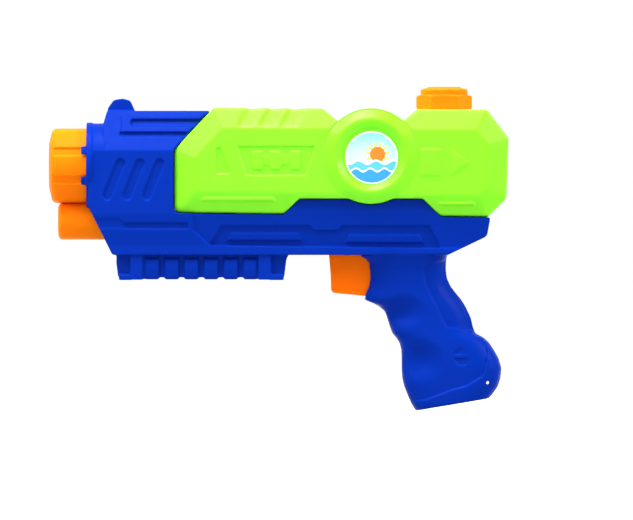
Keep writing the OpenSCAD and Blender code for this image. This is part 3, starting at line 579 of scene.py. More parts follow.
@dataclass(frozen=True)
class SteelFinish:
    """Zinc-plated steel with drawn marks along X.

    Attributes:
        name: The material's name.
        colour: The zinc's colour, linear.
        dull: The tone of drawn marks.
        stretch: How the marks are drawn out along each axis.
        marks: Scale and detail of the marks.
        roughness: Least and most roughness.
    """

    name: str = "zinc_steel"
    colour: Colour = (0.55, 0.56, 0.58)
    dull: Colour = (0.36, 0.36, 0.37)
    stretch: tuple[float, float, float] = (0.15, 1.0, 1.0)
    marks: Point = (1800.0, 4.0)
    roughness: Point = (0.24, 0.42)

    def material(self) -> bpy.types.Material:
        """Build the material.

        Returns:
            The new material.
        """
        recipe = Recipe(self.name)
        stretch = recipe.add("ShaderNodeMapping")
        stretch.inputs["Scale"].default_value = self.stretch
        recipe.link(recipe.place, stretch.inputs["Vector"])
        recipe.place = stretch.outputs["Vector"]
        marks = recipe.noise(*self.marks)
        recipe.link(recipe.blend(marks, self.colour, self.dull), recipe.shader.inputs["Base Color"])
        recipe.link(recipe.spread(marks, NOISE_SPAN, self.roughness), recipe.shader.inputs["Roughness"])
        recipe.set(Metallic=1.0)
        return recipe.material


@dataclass(frozen=True)
class LabelFinish:
    """Printed film: a low sun over two waves, with drops above, about a centre in the side view.

    Attributes:
        name: The material's name.
        centre: Middle of the label, in metres.
        radius: The label's radius, in metres.
        sky: Colour behind the sun.
        haze: Paler colour of the sky near the water.
        water: Colour of the far wave.
        deep: Colour of the near wave.
        foam: Colour of drops, crests and the rim.
        sun: Colour of the sun.
        ray: Colour of its rays.
        sun_place: Middle of the sun from the label's middle, X and Z.
        sun_radius: Radius of the sun.
        ray_reach: Length of its rays from the sun's middle.
        ray_count: Number of rays.
        waves: Each wave's height, swing, length and place along X.
        crest: Thickness of a wave's crest.
        rim: Width of the label's rim.
        haze_foot: Where the haze is full, as a share of the radius.
        drop_scale: Drops to the metre.
        drop_size: Size of a drop in its cell.
        drop_edge: Softness of a drop's edge.
        edge: Softness of the other edges, in metres.
        film_scale: Scale of the fine bumps in the film.
        film_depth: Their height, in metres.
        roughness: Roughness of the film.
        level: Specular level of the film.
    """

    name: str
    centre: tuple[float, float, float]
    radius: float
    sky: Colour = (0.2, 0.6, 0.88)
    haze: Colour = (0.62, 0.88, 1.0)
    water: Colour = (0.1, 0.5, 0.84)
    deep: Colour = (0.03, 0.32, 0.72)
    foam: Colour = (0.94, 0.98, 1.0)
    sun: Colour = (0.98, 0.2, 0.01)
    ray: Colour = (1.0, 0.66, 0.03)
    sun_place: Point = (0.0035, 0.002)
    sun_radius: float = 0.0046
    ray_reach: float = 0.0078
    ray_count: int = 11
    waves: Sequence[tuple[float, float, float, float]] = (
        (-0.0022, 0.0011, 0.0105, 0.0), (-0.0068, 0.0010, 0.0085, 0.003))
    crest: float = 0.001
    rim: float = 0.0008
    haze_foot: float = -0.3
    drop_scale: float = 300.0
    drop_size: float = 0.2
    drop_edge: float = 0.04
    edge: float = 0.0002
    film_scale: float = 900.0
    film_depth: float = 0.00001
    roughness: float = 0.3
    level: float = 0.3

    def material(self) -> bpy.types.Material:
        """Build the material.

        Returns:
            The new material.
        """
        recipe = Recipe(self.name)
        centred = recipe.add("ShaderNodeMapping")
        centred.inputs["Location"].default_value = tuple(-v for v in self.centre)
        recipe.link(recipe.place, centred.inputs["Vector"])
        axes = recipe.add("ShaderNodeSeparateXYZ")
        recipe.link(centred.outputs["Vector"], axes.inputs["Vector"])
        x, z = axes.outputs["X"], axes.outputs["Z"]
        fade = recipe.spread(z, (self.radius, self.haze_foot * self.radius), WHOLE)
        tone = recipe.blend(fade, self.sky, self.haze)
        drops = recipe.add("ShaderNodeTexVoronoi")
        drops.inputs["Scale"].default_value = self.drop_scale
        recipe.link(recipe.place, drops.inputs["Vector"])
        outside = recipe.math("SUBTRACT", drops.outputs["Distance"], self.drop_size)
        tone = self._fill(recipe, outside, self.drop_edge, tone, self.foam)
        tone = self._sun(recipe, x, z, tone)
        for (height, swing, length, shift), colour in zip(self.waves, (self.water, self.deep)):
            turn = recipe.math("MULTIPLY", recipe.math("ADD", x, shift), 2.0 * math.pi / length)
            top = recipe.math("ADD", recipe.math("MULTIPLY", recipe.math("SINE", turn), swing), height)
            above = recipe.math("SUBTRACT", z, top)
            tone = self._fill(recipe, above, self.edge, tone, self.foam)
            tone = self._fill(recipe, recipe.math("ADD", above, self.crest), self.edge, tone, colour)
        inside = recipe.math("SUBTRACT", self.radius - self.rim, self._reach(recipe, x, z, (0.0, 0.0)))
        tone = self._fill(recipe, inside, self.edge, tone, self.foam)
        recipe.link(tone, recipe.shader.inputs["Base Color"])
        film = recipe.bump(recipe.noise(self.film_scale), self.film_depth)
        recipe.link(film, recipe.shader.inputs["Normal"])
        recipe.set(Roughness=self.roughness, Specular_IOR_Level=self.level)
        return recipe.material

    def _sun(self, recipe: Recipe, x: bpy.types.NodeSocket, z: bpy.types.NodeSocket,
             below: bpy.types.NodeSocket) -> bpy.types.NodeSocket:
        """Print the sun and its rays over another colour.

        Args:
            recipe: The material's recipe.
            x: Place along X from the label's middle.
            z: Place along Z from it.
            below: The colour below.

        Returns:
            The printed colour.
        """
        reach = self._reach(recipe, x, z, self.sun_place)
        turn = recipe.math("ARCTAN2", recipe.math("SUBTRACT", z, self.sun_place[1]),
                           recipe.math("SUBTRACT", x, self.sun_place[0]))
        swing = recipe.math("SINE", recipe.math("MULTIPLY", turn, float(self.ray_count)))
        spikes = recipe.math("MULTIPLY", swing, self.ray_reach - self.sun_radius)
        star = recipe.math("SUBTRACT", reach, recipe.math("ADD", spikes, self.sun_radius))
        tone = self._fill(recipe, star, self.edge, below, self.ray)
        disc = recipe.math("SUBTRACT", reach, self.sun_radius)
        return self._fill(recipe, disc, self.edge, tone, self.sun)

    def _reach(self, recipe: Recipe, x: bpy.types.NodeSocket, z: bpy.types.NodeSocket,
               place: Point) -> bpy.types.NodeSocket:
        """Find the distance from a place on the label.

        Args:
            recipe: The material's recipe.
            x: Place along X from the label's middle.
            z: Place along Z from it.
            place: The place to measure from, X and Z.

        Returns:
            The distance, in metres.
        """
        along = recipe.math("SUBTRACT", x, place[0])
        up = recipe.math("SUBTRACT", z, place[1])
        return recipe.math("SQRT", recipe.math("ADD", recipe.math("MULTIPLY", along, along),
                                               recipe.math("MULTIPLY", up, up)))

    def _fill(self, recipe: Recipe, distance: bpy.types.NodeSocket, soft: float,
              below: bpy.types.NodeSocket, colour: Colour) -> bpy.types.NodeSocket:
        """Print a colour where a distance is below nothing, with a soft edge."""
        return recipe.blend(recipe.spread(distance, (soft, -soft), WHOLE), below, colour)


Finish = PlasticFinish | RubberFinish | SteelFinish | LabelFinish

# The third colour of each plastic is its convex edges' paler tone: part wear, part painted highlight
BLUE = PlasticFinish(
    "blue_shell_plastic", (0.0008, 0.023, 0.315), (0.001, 0.027, 0.35), (0.012, 0.1, 0.66),
    level=0.02, rub_highlight_share=0.5)
GREEN = PlasticFinish(
    "green_tank_plastic", (0.21, 0.86, 0.006), (0.24, 0.9, 0.01), (0.48, 0.97, 0.06),
    level=0.25, roughness=0.4, milky=0.35)
CAP_ORANGE = PlasticFinish(
    "orange_cap_plastic", (1.0, 0.19, 0.002), (1.0, 0.22, 0.004), (1.0, 0.4, 0.05),
    level=0.03, milky=0.4, reach=0.005)
BARREL_ORANGE = PlasticFinish(
    "orange_barrel_plastic", (1.0, 0.2, 0.002), (1.0, 0.23, 0.004), (1.0, 0.36, 0.03),
    level=0.02, milky=0.4, reach=0.005)
TRIGGER_ORANGE = PlasticFinish(
    "orange_trigger_plastic", (1.0, 0.16, 0.001), (1.0, 0.18, 0.002), (1.0, 0.22, 0.015),
    level=0.02, milky=0.4, reach=0.005)
WHITE = PlasticFinish(
    "white_pump_plastic", (0.78, 0.8, 0.8), (0.84, 0.86, 0.85), (0.9, 0.9, 0.9), roughness=0.45)
HOSE = PlasticFinish(
    "milky_hose_plastic", (0.7, 0.76, 0.77), (0.8, 0.84, 0.84), (0.85, 0.88, 0.88), roughness=0.4)


class Paint:
    """Hands out each finish's material, built once."""

    def __init__(self) -> None:
        """Start with no material built."""
        self._made: dict[str, bpy.types.Material] = {}

    def of(self, finish: Finish) -> bpy.types.Material:
        """Give a finish's material, and build it at its first use.

        Args:
            finish: The finish.

        Returns:
            Its material.
        """
        if finish.name not in self._made:
            self._made[finish.name] = finish.material()
        return self._made[finish.name]

    def coat(self, obj: bpy.types.Object, finish: Finish) -> None:
        """Give an object one material all over."""
        obj.data.materials.clear()
        obj.data.materials.append(self.of(finish))


# Moulded skins


@dataclass
class Moulding:
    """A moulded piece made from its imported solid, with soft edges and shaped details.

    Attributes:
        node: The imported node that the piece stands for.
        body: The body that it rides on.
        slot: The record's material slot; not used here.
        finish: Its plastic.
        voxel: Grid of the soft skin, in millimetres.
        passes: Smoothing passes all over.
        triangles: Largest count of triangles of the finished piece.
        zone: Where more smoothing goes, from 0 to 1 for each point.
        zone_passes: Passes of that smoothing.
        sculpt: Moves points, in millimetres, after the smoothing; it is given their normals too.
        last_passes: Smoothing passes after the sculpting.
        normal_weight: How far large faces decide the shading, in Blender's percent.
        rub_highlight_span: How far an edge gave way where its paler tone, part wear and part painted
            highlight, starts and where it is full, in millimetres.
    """

    node: str
    body: Body
    slot: Slot
    finish: PlasticFinish
    voxel: float = 0.45
    passes: int = 5
    triangles: int = 180_000
    zone: Weight | None = None
    zone_passes: int = 0
    sculpt: Shape | None = None
    quick_factor: float = 2.0
    last_passes: int = 2
    normal_weight: int = 60
    rub_highlight_span: Point = (0.04, 0.22)

    def build(self, nodes: dict[str, bpy.types.Object], paint: Paint) -> bpy.types.Object:
        """Make the piece and put it in its node's place.

        Args:
            nodes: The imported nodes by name.
            paint: Where the finish's material comes from.

        Returns:
            The new piece.
        """
        piece = settle(copy_of(nodes[self.node]), self.node + "_moulding")
        grid = self.voxel * 1.0
        apply_modifier(piece, "REMESH", mode="VOXEL", voxel_size=grid * MM, adaptivity=0.0)
        self._soften(piece)
        if self.sculpt is not None:
            set_points(piece, self.sculpt(points_of(piece), normals_of(piece)))
            apply_modifier(piece, "SMOOTH", factor=SMOOTHING, iterations=self.last_passes)
        self._thin(piece)
        apply_modifier(piece, "WEIGHTED_NORMAL", weight=self.normal_weight, keep_sharp=False)
        paint.coat(piece, self.finish)
        seat(piece, self.node, self.body)
        return piece

    def _soften(self, piece: bpy.types.Object) -> None:
        """Round the edges, and note how far each point of an edge gave way.

        Args:
            piece: The piece, with sharp edges.
        """
        sharp = points_of(piece)
        normals = normals_of(piece)
        apply_modifier(piece, "SMOOTH", factor=SMOOTHING, iterations=self.passes)
        # How far convex edges gave way sets their paler tone: part wear, part painted highlight
        given = np.einsum("ij,ij->i", sharp - points_of(piece), normals)
        rub_and_highlight = piece.data.attributes.new(EDGE_WEAR_HIGHLIGHT_ATTRIBUTE, "FLOAT", "POINT")
        rub_and_highlight.data.foreach_set("value", ease(given, *self.rub_highlight_span).astype(np.float32))
        if self.zone is not None:
            group = piece.vertex_groups.new(name="soft_zone")
            weights = np.round(self.zone(points_of(piece)), 1)
            for level in np.unique(weights[weights > 0]):
                group.add(np.flatnonzero(weights == level).tolist(), float(level), "REPLACE")
            apply_modifier(piece, "SMOOTH", factor=SMOOTHING, iterations=self.zone_passes,
                           vertex_group=group.name)
            piece.vertex_groups.clear()

    def _thin(self, piece: bpy.types.Object) -> None:
        """Collapse points that the shape doesn't need, then shade it smooth.

        Args:
            piece: The piece, with all its points.
        """
        apply_modifier(piece, "TRIANGULATE")
        count = len(piece.data.polygons)
        if count > self.triangles:
            apply_modifier(piece, "DECIMATE", ratio=self.triangles / count)
        pick(piece)
        bpy.ops.object.shade_smooth()


@dataclass
class GripShape:
    """Shaped details of the grip's sides, in millimetres in the side view.

    Attributes:
        strap: Outline of the sunk back-strap panel.
        strap_depth: Depth of that panel at its front.
        strap_lean: How much deeper it gets for each millimetre towards the rear.
        band: Outline of the raised band round the heel and foot.
        band_height: Height of that band.
        scoops: Finger scoops: middle X and Z, half length, half height and depth.
        plug: Middle of the round plug, X and Z.
        plug_radius: Radius that stays crisp round it.
        lip: How far the front edges close round the trigger.
        lip_foot: How much further they do at the trigger's foot.
        lip_head: How much further they do under the receiver.
        seam: No detail within this distance of the parting plane.
        full: Details at full depth from this distance on.
        plug_edge: Width of the change from crisp to soft round the plug.
        zone_top: Where the soft zone begins and is full below the receiver, as -Z.
        zone_front: Where it begins and is full behind the trigger's front, X.
        tail_x: Where the tail begins to stay crisp and is crisp, X.
        tail_z: The same, Z.
        crisp_lip_x: Where the lip begins to stay crisp and is crisp, as -X.
        crisp_lip_z: The same, Z.
        band_edge: Slope of the band's edge, by the distance inside its outline.
        strap_edge: Slope of the panel's edge, by the distance inside its outline.
        strap_reach: The panel gets no deeper behind this X.
        foot_z: Between these heights the lip's foot fades out.
        head_z: Between these heights the lip's head fades in.
        near_x: Where the lip begins and is full, as -X.
        far_x: Where it begins to end and has ended, as -X.
        top_z: Between these heights it ends under the receiver.
        beside_y: From between the lips to the lips themselves, by the distance from the middle.
        inner_z: Between these heights the edge between the lips fades in.
        outer_z: Between these heights the lips fade in.
    """

    strap: Sequence[Point] = (
        (1.7, 30.4), (2.7, 23.1), (5.4, 16.4), (10.1, 6.9), (12.8, 0.9), (15.8, -4.5), (30.3, -5.5),
        (35.0, -9.9), (60.0, -9.9), (60.0, 37.9), (17.1, 37.9), (14.1, 35.7), (8.7, 34.5), (4.7, 32.9))
    strap_depth: float = 1.2
    strap_lean: float = 0.1
    band: Sequence[Point] = (
        (35.0, -9.9), (39.0, -13.9), (40.4, -19.3), (40.0, -25.4), (38.7, -31.4), (37.0, -33.8),
        (27.6, -39.5), (18.2, -41.9), (10.1, -45.2), (3.4, -47.6), (-4.7, -48.9), (-20.0, -49.6),
        (-20.0, -70.0), (70.0, -70.0), (70.0, -9.9))
    band_height: float = 1.3
    scoops: Sequence[tuple[float, float, float, float, float]] = (
        (-10.0, 5.0, 15.0, 12.0, 3.6), (0.5, -24.5, 15.5, 14.5, 3.8))
    plug: Point = (25.6, -21.8)
    plug_radius: float = 6.0
    lip: float = 2.4
    lip_foot: float = 1.2
    lip_head: float = 5.0
    seam: float = 3.0
    full: float = 10.0
    plug_edge: float = 3.0
    zone_top: Point = (-42.5, -37.5)
    zone_front: Point = (-38.0, -33.0)
    tail_x: Point = (15.0, 19.0)
    tail_z: Point = (33.0, 37.0)
    crisp_lip_x: Point = (20.0, 25.0)
    crisp_lip_z: Point = (7.0, 11.0)
    band_edge: Point = (-0.4, 0.5)
    strap_edge: Point = (-0.4, 0.7)
    strap_reach: float = 30.0
    foot_z: Point = (13.0, 22.0)
    head_z: Point = (32.5, 39.5)
    near_x: Point = (19.0, 26.0)
    far_x: Point = (36.0, 40.0)
    top_z: Point = (38.6, 39.4)
    beside_y: Point = (5.5, 8.5)
    inner_z: Point = (12.6, 14.0)
    outer_z: Point = (8.0, 12.5)

    def soft_zone(self, points: np.ndarray) -> np.ndarray:
        """Say where the shells are smoothed like a grip: below the receiver, off the lip and the plug.

        Args:
            points: Rows of X, Y and Z in millimetres.

        Returns:
            A share from 0 to 1 for each point.
        """
        x, z = points[:, 0], points[:, 2]
        tail = ease(x, *self.tail_x) * ease(z, *self.tail_z)
        below = ease(-z, *self.zone_top) * ease(x, *self.zone_front) * (1.0 - tail)
        lip = ease(-x, *self.crisp_lip_x) * ease(z, *self.crisp_lip_z)
        reach = np.hypot(x - self.plug[0], z - self.plug[1])
        plug = 1.0 - ease(reach, self.plug_radius, self.plug_radius + self.plug_edge)
        return below * (1.0 - lip) * (1.0 - plug)

    def sculpt(self, points: np.ndarray) -> np.ndarray:
        """Move the grip's sides in and out for its panel, band and scoops, and its lip forwards.

        Args:
            points: Rows of X, Y and Z in millimetres.

        Returns:
            The moved rows.
        """
        x, z = points[:, 0], points[:, 2]
        out = self.band_height * ease(side_distance(points, self.band), *self.band_edge)
        depth = self.strap_depth + self.strap_lean * np.clip(x, 0.0, self.strap_reach)
        out -= depth * ease(side_distance(points, self.strap), *self.strap_edge)
        for middle_x, middle_z, half_x, half_z, deepest in self.scoops:
            reach = np.hypot((x - middle_x) / half_x, (z - middle_z) / half_z)
            out -= deepest * (1.0 - ease(reach, *WHOLE))
        share = ease(np.abs(points[:, 1]), self.seam, self.full) * self.soft_zone(points)
        moved = points.copy()
        moved[:, 1] += np.sign(points[:, 1]) * out * share
        moved[:, 0] -= self._lip_shift(points)
        return moved

    def _lip_shift(self, points: np.ndarray) -> np.ndarray:
        """Find how far the grip's front edges move forwards round the trigger.

        Args:
            points: Rows of X, Y and Z in millimetres.

        Returns:
            One distance for each point, in millimetres.
        """
        x, z = points[:, 0], points[:, 2]
        foot = self.lip_foot * (1.0 - ease(z, *self.foot_z))
        forward = self.lip + foot + self.lip_head * ease(z, *self.head_z) ** 2
        near = ease(-x, *self.near_x) * (1.0 - ease(-x, *self.far_x)) * (1.0 - ease(z, *self.top_z))
        beside = ease(np.abs(points[:, 1]), *self.beside_y)
        inner = (1.0 - beside) * ease(z, *self.inner_z)
        return forward * near * (inner + beside * ease(z, *self.outer_z))


@dataclass
class RailShape:
    """Shaped details of the rail under the barrel, in millimetres.

    Attributes:
        front: X of the first bar's front.
        rear: X of the last bar's rear.
        foot: Height of the bars' undersides.
        face: The bars' outer faces, from the middle.
        floor: The rail's face between the bars, from the middle.
        strip: Height above which the rail is sunk over the bars.
        round_foot: Height over which the bars curve in towards their undersides.
        crown: How far the bars' faces are rounded between foot and strip.
        shallow: Grooves at the ends that are nearly filled: lowest and highest X.
        shallow_depth: How far these grooves stay behind the bars' faces.
        skin: Only points beyond this distance from the middle are on the outside.
        skin_edge: Half width of the change from inside to outside.
        over: Nothing moves higher than this above the strip's lower edge.
        groove_edge: Slope of a filled groove's ends.
        sole: Thickness of the bars' undersides.
        sole_fade: Heights above the foot between which the underside's fill fades out.
        bar_edge: Slope of the bars' ends.
        slack: Points further out than the bars' faces by this aren't on the bars.
        facing: Share of a normal along Y from which a point is on a side face.
        strip_edge: Slope of the strip's lower edge.
    """

    front: float = -164.6
    rear: float = -97.7
    foot: float = 24.4
    face: float = 19.2
    floor: float = 17.0
    strip: float = 36.6
    round_foot: float = 3.2
    crown: float = 0.5
    shallow: Sequence[Point] = ((-166.4, -164.4), (-97.9, -96.6))
    shallow_depth: float = 0.7
    skin: float = 16.0
    skin_edge: float = 0.4
    over: float = 3.0
    groove_edge: Point = (-0.4, 0.2)
    sole: float = 0.2
    sole_fade: Point = (1.6, 2.2)
    bar_edge: Point = (-0.6, 0.2)
    slack: float = 1.0
    facing: Point = (0.3, 0.6)
    strip_edge: Point = (-0.2, 0.4)

    def sculpt(self, points: np.ndarray, normals: np.ndarray) -> np.ndarray:
        """Fill the end grooves, round the bars and sink the strip over them.

        Args:
            points: Rows of X, Y and Z in millimetres.
            normals: The normals there.

        Returns:
            The moved rows.
        """
        x, z = points[:, 0], points[:, 2]
        side = np.abs(points[:, 1])
        skin_span = (self.skin - self.skin_edge, self.skin + self.skin_edge)
        below = z < self.strip + self.over
        outside = ease(side, *skin_span) * below
        moved = points.copy()
        for low, high in self.shallow:
            inside = ease(np.minimum(x - low, high - x), *self.groove_edge)
            rise = np.maximum(self.face - self.shallow_depth - side, 0.0)
            side = side + inside * outside * rise
            fade = ease(z, self.foot + self.sole_fade[0], self.foot + self.sole_fade[1])
            drop = np.maximum(z - self.foot - self.sole, 0.0) * (1.0 - fade)
            moved[:, 2] -= inside * drop * below
        on_bar = side < self.face + self.slack
        bars = ease(np.minimum(x - self.front, self.rear - x), *self.bar_edge)
        proud = np.clip((side - self.floor) / (self.face - self.floor), 0.0, 1.0) * on_bar
        middle = (self.strip + self.foot + self.round_foot) / 2.0
        half = middle - self.foot - self.round_foot
        low_turn = np.clip((self.foot + self.round_foot - z) / self.round_foot, 0.0, 1.0)
        inward = (self.face - self.floor) * (1.0 - np.sqrt(1.0 - low_turn ** 2))
        inward = inward + self.crown * np.clip(np.abs(z - middle) / half, 0.0, 1.0) ** 2
        facing = ease(np.abs(normals[:, 1]), *self.facing)
        above = ease(z, self.strip + self.strip_edge[0], self.strip + self.strip_edge[1])
        sunk = np.maximum(side - self.floor, 0.0) * above * facing
        shift = np.maximum(inward * proud, sunk * on_bar) * bars * below
        moved[:, 1] = np.sign(points[:, 1]) * (side - shift * ease(side, *skin_span))
        return moved


@dataclass
class VentShape:
    """The slanted vents in the front of the shells, shortened at their tops, in millimetres.

    Attributes:
        head: Middle of the first vent's shortened upper end, X and Z.
        foot: Middle of its lower end, X and Z.
        pitch: Step from vent to vent along X.
        count: Number of vents.
        radius: Half width of a vent.
        wall: The side wall's face, from the middle.
        floor: Points nearer to the middle than this aren't in a vent.
        height: Nothing moves further than this above or below the shortened tops.
        before: How far ahead of the first vent points move.
        after: How far behind the last vent they do.
        edge: Slope of the shortened end, by the distance from the vent.
    """

    head: Point = (-179.6, 93.6)
    foot: Point = (-187.2, 74.4)
    pitch: float = 11.8
    count: int = 3
    radius: float = 2.8
    wall: float = 24.0
    floor: float = 21.8
    height: float = 4.0
    before: float = 6.0
    after: float = 8.0
    edge: Point = (-0.1, 0.5)

    def sculpt(self, points: np.ndarray) -> np.ndarray:
        """Bring the wall down to the vents' shortened tops.

        Args:
            points: Rows of X, Y and Z in millimetres.

        Returns:
            The moved rows.
        """
        x, z = points[:, 0], points[:, 2]
        side = np.abs(points[:, 1])
        axis = np.subtract(self.head, self.foot)
        away = np.full(len(points), np.inf)
        for index in range(self.count):
            along_x, up = x - self.foot[0] - self.pitch * index, z - self.foot[1]
            t = np.clip((along_x * axis[0] + up * axis[1]) / (axis @ axis), 0.0, 1.0)
            away = np.minimum(away, np.hypot(along_x - t * axis[0], up - t * axis[1]) - self.radius)
        last_x = self.head[0] + self.pitch * (self.count - 1)
        near = (np.abs(z - self.head[1] - self.radius) < self.height) * (side > self.floor)
        near = near * (x > self.head[0] - self.before) * (x < last_x + self.after)
        rise = np.maximum(self.wall - side, 0.0) * near * ease(away, *self.edge)
        moved = points.copy()
        moved[:, 1] += np.sign(points[:, 1]) * rise
        return moved


@dataclass
class Housing:
    """The two blue shells and the screws that hold them.

    Attributes:
        grip: The grip's shaped details.
        rail: The rail's shaped details.
        vents: The vents' shaped details.
        screw_head: Radius of a screw's head, in millimetres.
        screw_shank: Radius of its shank.
        recess_arm: Half length of the cross recess.
        recess_width: Width of the cross recess.
        recess_depth: Depth of the cross recess.
        head_height: Height of a screw's head.
        head_bevel: Rounding of the head's edge.
        head_sides: Number of sides of a screw.
        apart: Points nearer than this many head radii are on one screw.
        crease: Edges of a screw sharper than this stay sharp, in degrees.
    """

    grip: GripShape = field(default_factory=GripShape)
    rail: RailShape = field(default_factory=RailShape)
    vents: VentShape = field(default_factory=VentShape)
    screw_head: float = 2.75
    screw_shank: float = 1.5
    recess_arm: float = 1.7
    recess_width: float = 0.7
    recess_depth: float = 1.0
    head_height: float = 2.0
    head_bevel: float = 0.6
    head_sides: int = 32
    apart: float = 3.0
    crease: float = 35.0

    def build(self, nodes: dict[str, bpy.types.Object], paint: Paint) -> list[bpy.types.Object]:
        """Make both shells and the screws.

        Args:
            nodes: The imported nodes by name.
            paint: Where materials come from.

        Returns:
            The new pieces.
        """
        shells = [
            Moulding(side + "_shell", Body.HOUSING, Slot.BLUE, BLUE, passes=4, zone=self.grip.soft_zone,
                     zone_passes=22, sculpt=self._sculpt).build(nodes, paint)
            for side in ("left", "right")
        ]
        return [*shells, self._screws(nodes["shell_screws"], paint)]

    def _sculpt(self, points: np.ndarray, normals: np.ndarray) -> np.ndarray:
        """Shape the grip, the rail and the vents."""
        return self.vents.sculpt(self.rail.sculpt(self.grip.sculpt(points), normals))

    def _screws(self, node: bpy.types.Object, paint: Paint) -> bpy.types.Object:
        """Make cross-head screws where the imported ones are, as one piece.

        Args:
            node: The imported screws.
            paint: Where the steel comes from.

        Returns:
            The screws.
        """
        screws = []
        for low, high in self._screw_places(node):
            middle = (low + high) / 2.0
            top = Vector((middle[0], high[1], middle[2])) * MM
            screws.append(self._screw(top, (high[1] - low[1]) * MM))
        pick(screws[0])
        for screw in screws:
            screw.select_set(True)
        bpy.ops.object.join()
        piece = settle(screws[0], "shell_screw_set")
        smooth_shading(piece, self.crease)
        paint.coat(piece, SteelFinish())
        seat(piece, "shell_screws", Body.HOUSING)
        return piece

    def _screw_places(self, node: bpy.types.Object) -> list[tuple[np.ndarray, np.ndarray]]:
        """Find each packed screw by where its points gather.

        Args:
            node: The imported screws.

        Returns:
            Each screw's lowest and highest corner, in millimetres.
        """
        points = points_of(node)
        places: list[tuple[np.ndarray, np.ndarray]] = []
        left = np.ones(len(points), bool)
        while left.any():
            first = points[np.flatnonzero(left)[0]]
            reach = np.hypot(points[:, 0] - first[0], points[:, 2] - first[2])
            near = left & (reach < self.apart * self.screw_head)
            places.append((points[near].min(0), points[near].max(0)))
            left &= ~near
        return places

    def _screw(self, top: Vector, length: float) -> bpy.types.Object:
        """Make one screw that lies along Y with its head's top at a point.

        Args:
            top: Middle of the head's top, in metres.
            length: The screw's whole length, in metres.

        Returns:
            The screw.
        """
        bpy.ops.object.select_all(action="DESELECT")
        head = self.head_height * MM
        bpy.ops.mesh.primitive_cylinder_add(vertices=self.head_sides, radius=self.screw_head * MM,
                                            depth=head, location=top - Vector((0, head / 2.0, 0)),
                                            rotation=(-math.pi / 2.0, 0.0, 0.0))
        screw = bpy.context.object
        with edit_mode(screw, selected=False):
            select_faces(screw, lambda face: face.normal.z < -FACING)
            bpy.ops.mesh.inset(thickness=(self.screw_head - self.screw_shank) * MM)
            bpy.ops.mesh.extrude_region_move(TRANSFORM_OT_translate={
                "value": (0.0, -(length - head), 0.0)})
        settle(screw, "screw")
        with edit_mode(screw, selected=False):
            select_faces(screw, lambda face: face.normal.y > FACING)
            bpy.ops.mesh.region_to_loop()
            bpy.ops.mesh.bevel(offset=self.head_bevel * MM, segments=3)
        for turn in (0.0, math.pi / 2.0):
            self._cut_recess(screw, top, turn)
        return screw

    def _cut_recess(self, screw: bpy.types.Object, top: Vector, turn: float) -> None:
        """Cut one arm of the cross recess into a screw's head.

        Args:
            screw: The screw.
            top: Middle of the head's top, in metres.
            turn: The arm's turn about Y, in radians.
        """
        bpy.ops.object.select_all(action="DESELECT")
        bpy.ops.mesh.primitive_cube_add(size=1.0, location=top, rotation=(0.0, turn, 0.0))
        tool = bpy.context.object
        tool.scale = (2.0 * self.recess_arm * MM, 2.0 * self.recess_depth * MM, self.recess_width * MM)
        settle(tool, "recess_tool")
        apply_modifier(screw, "BOOLEAN", operation="DIFFERENCE", object=tool, solver="EXACT")
        bpy.data.objects.remove(tool)


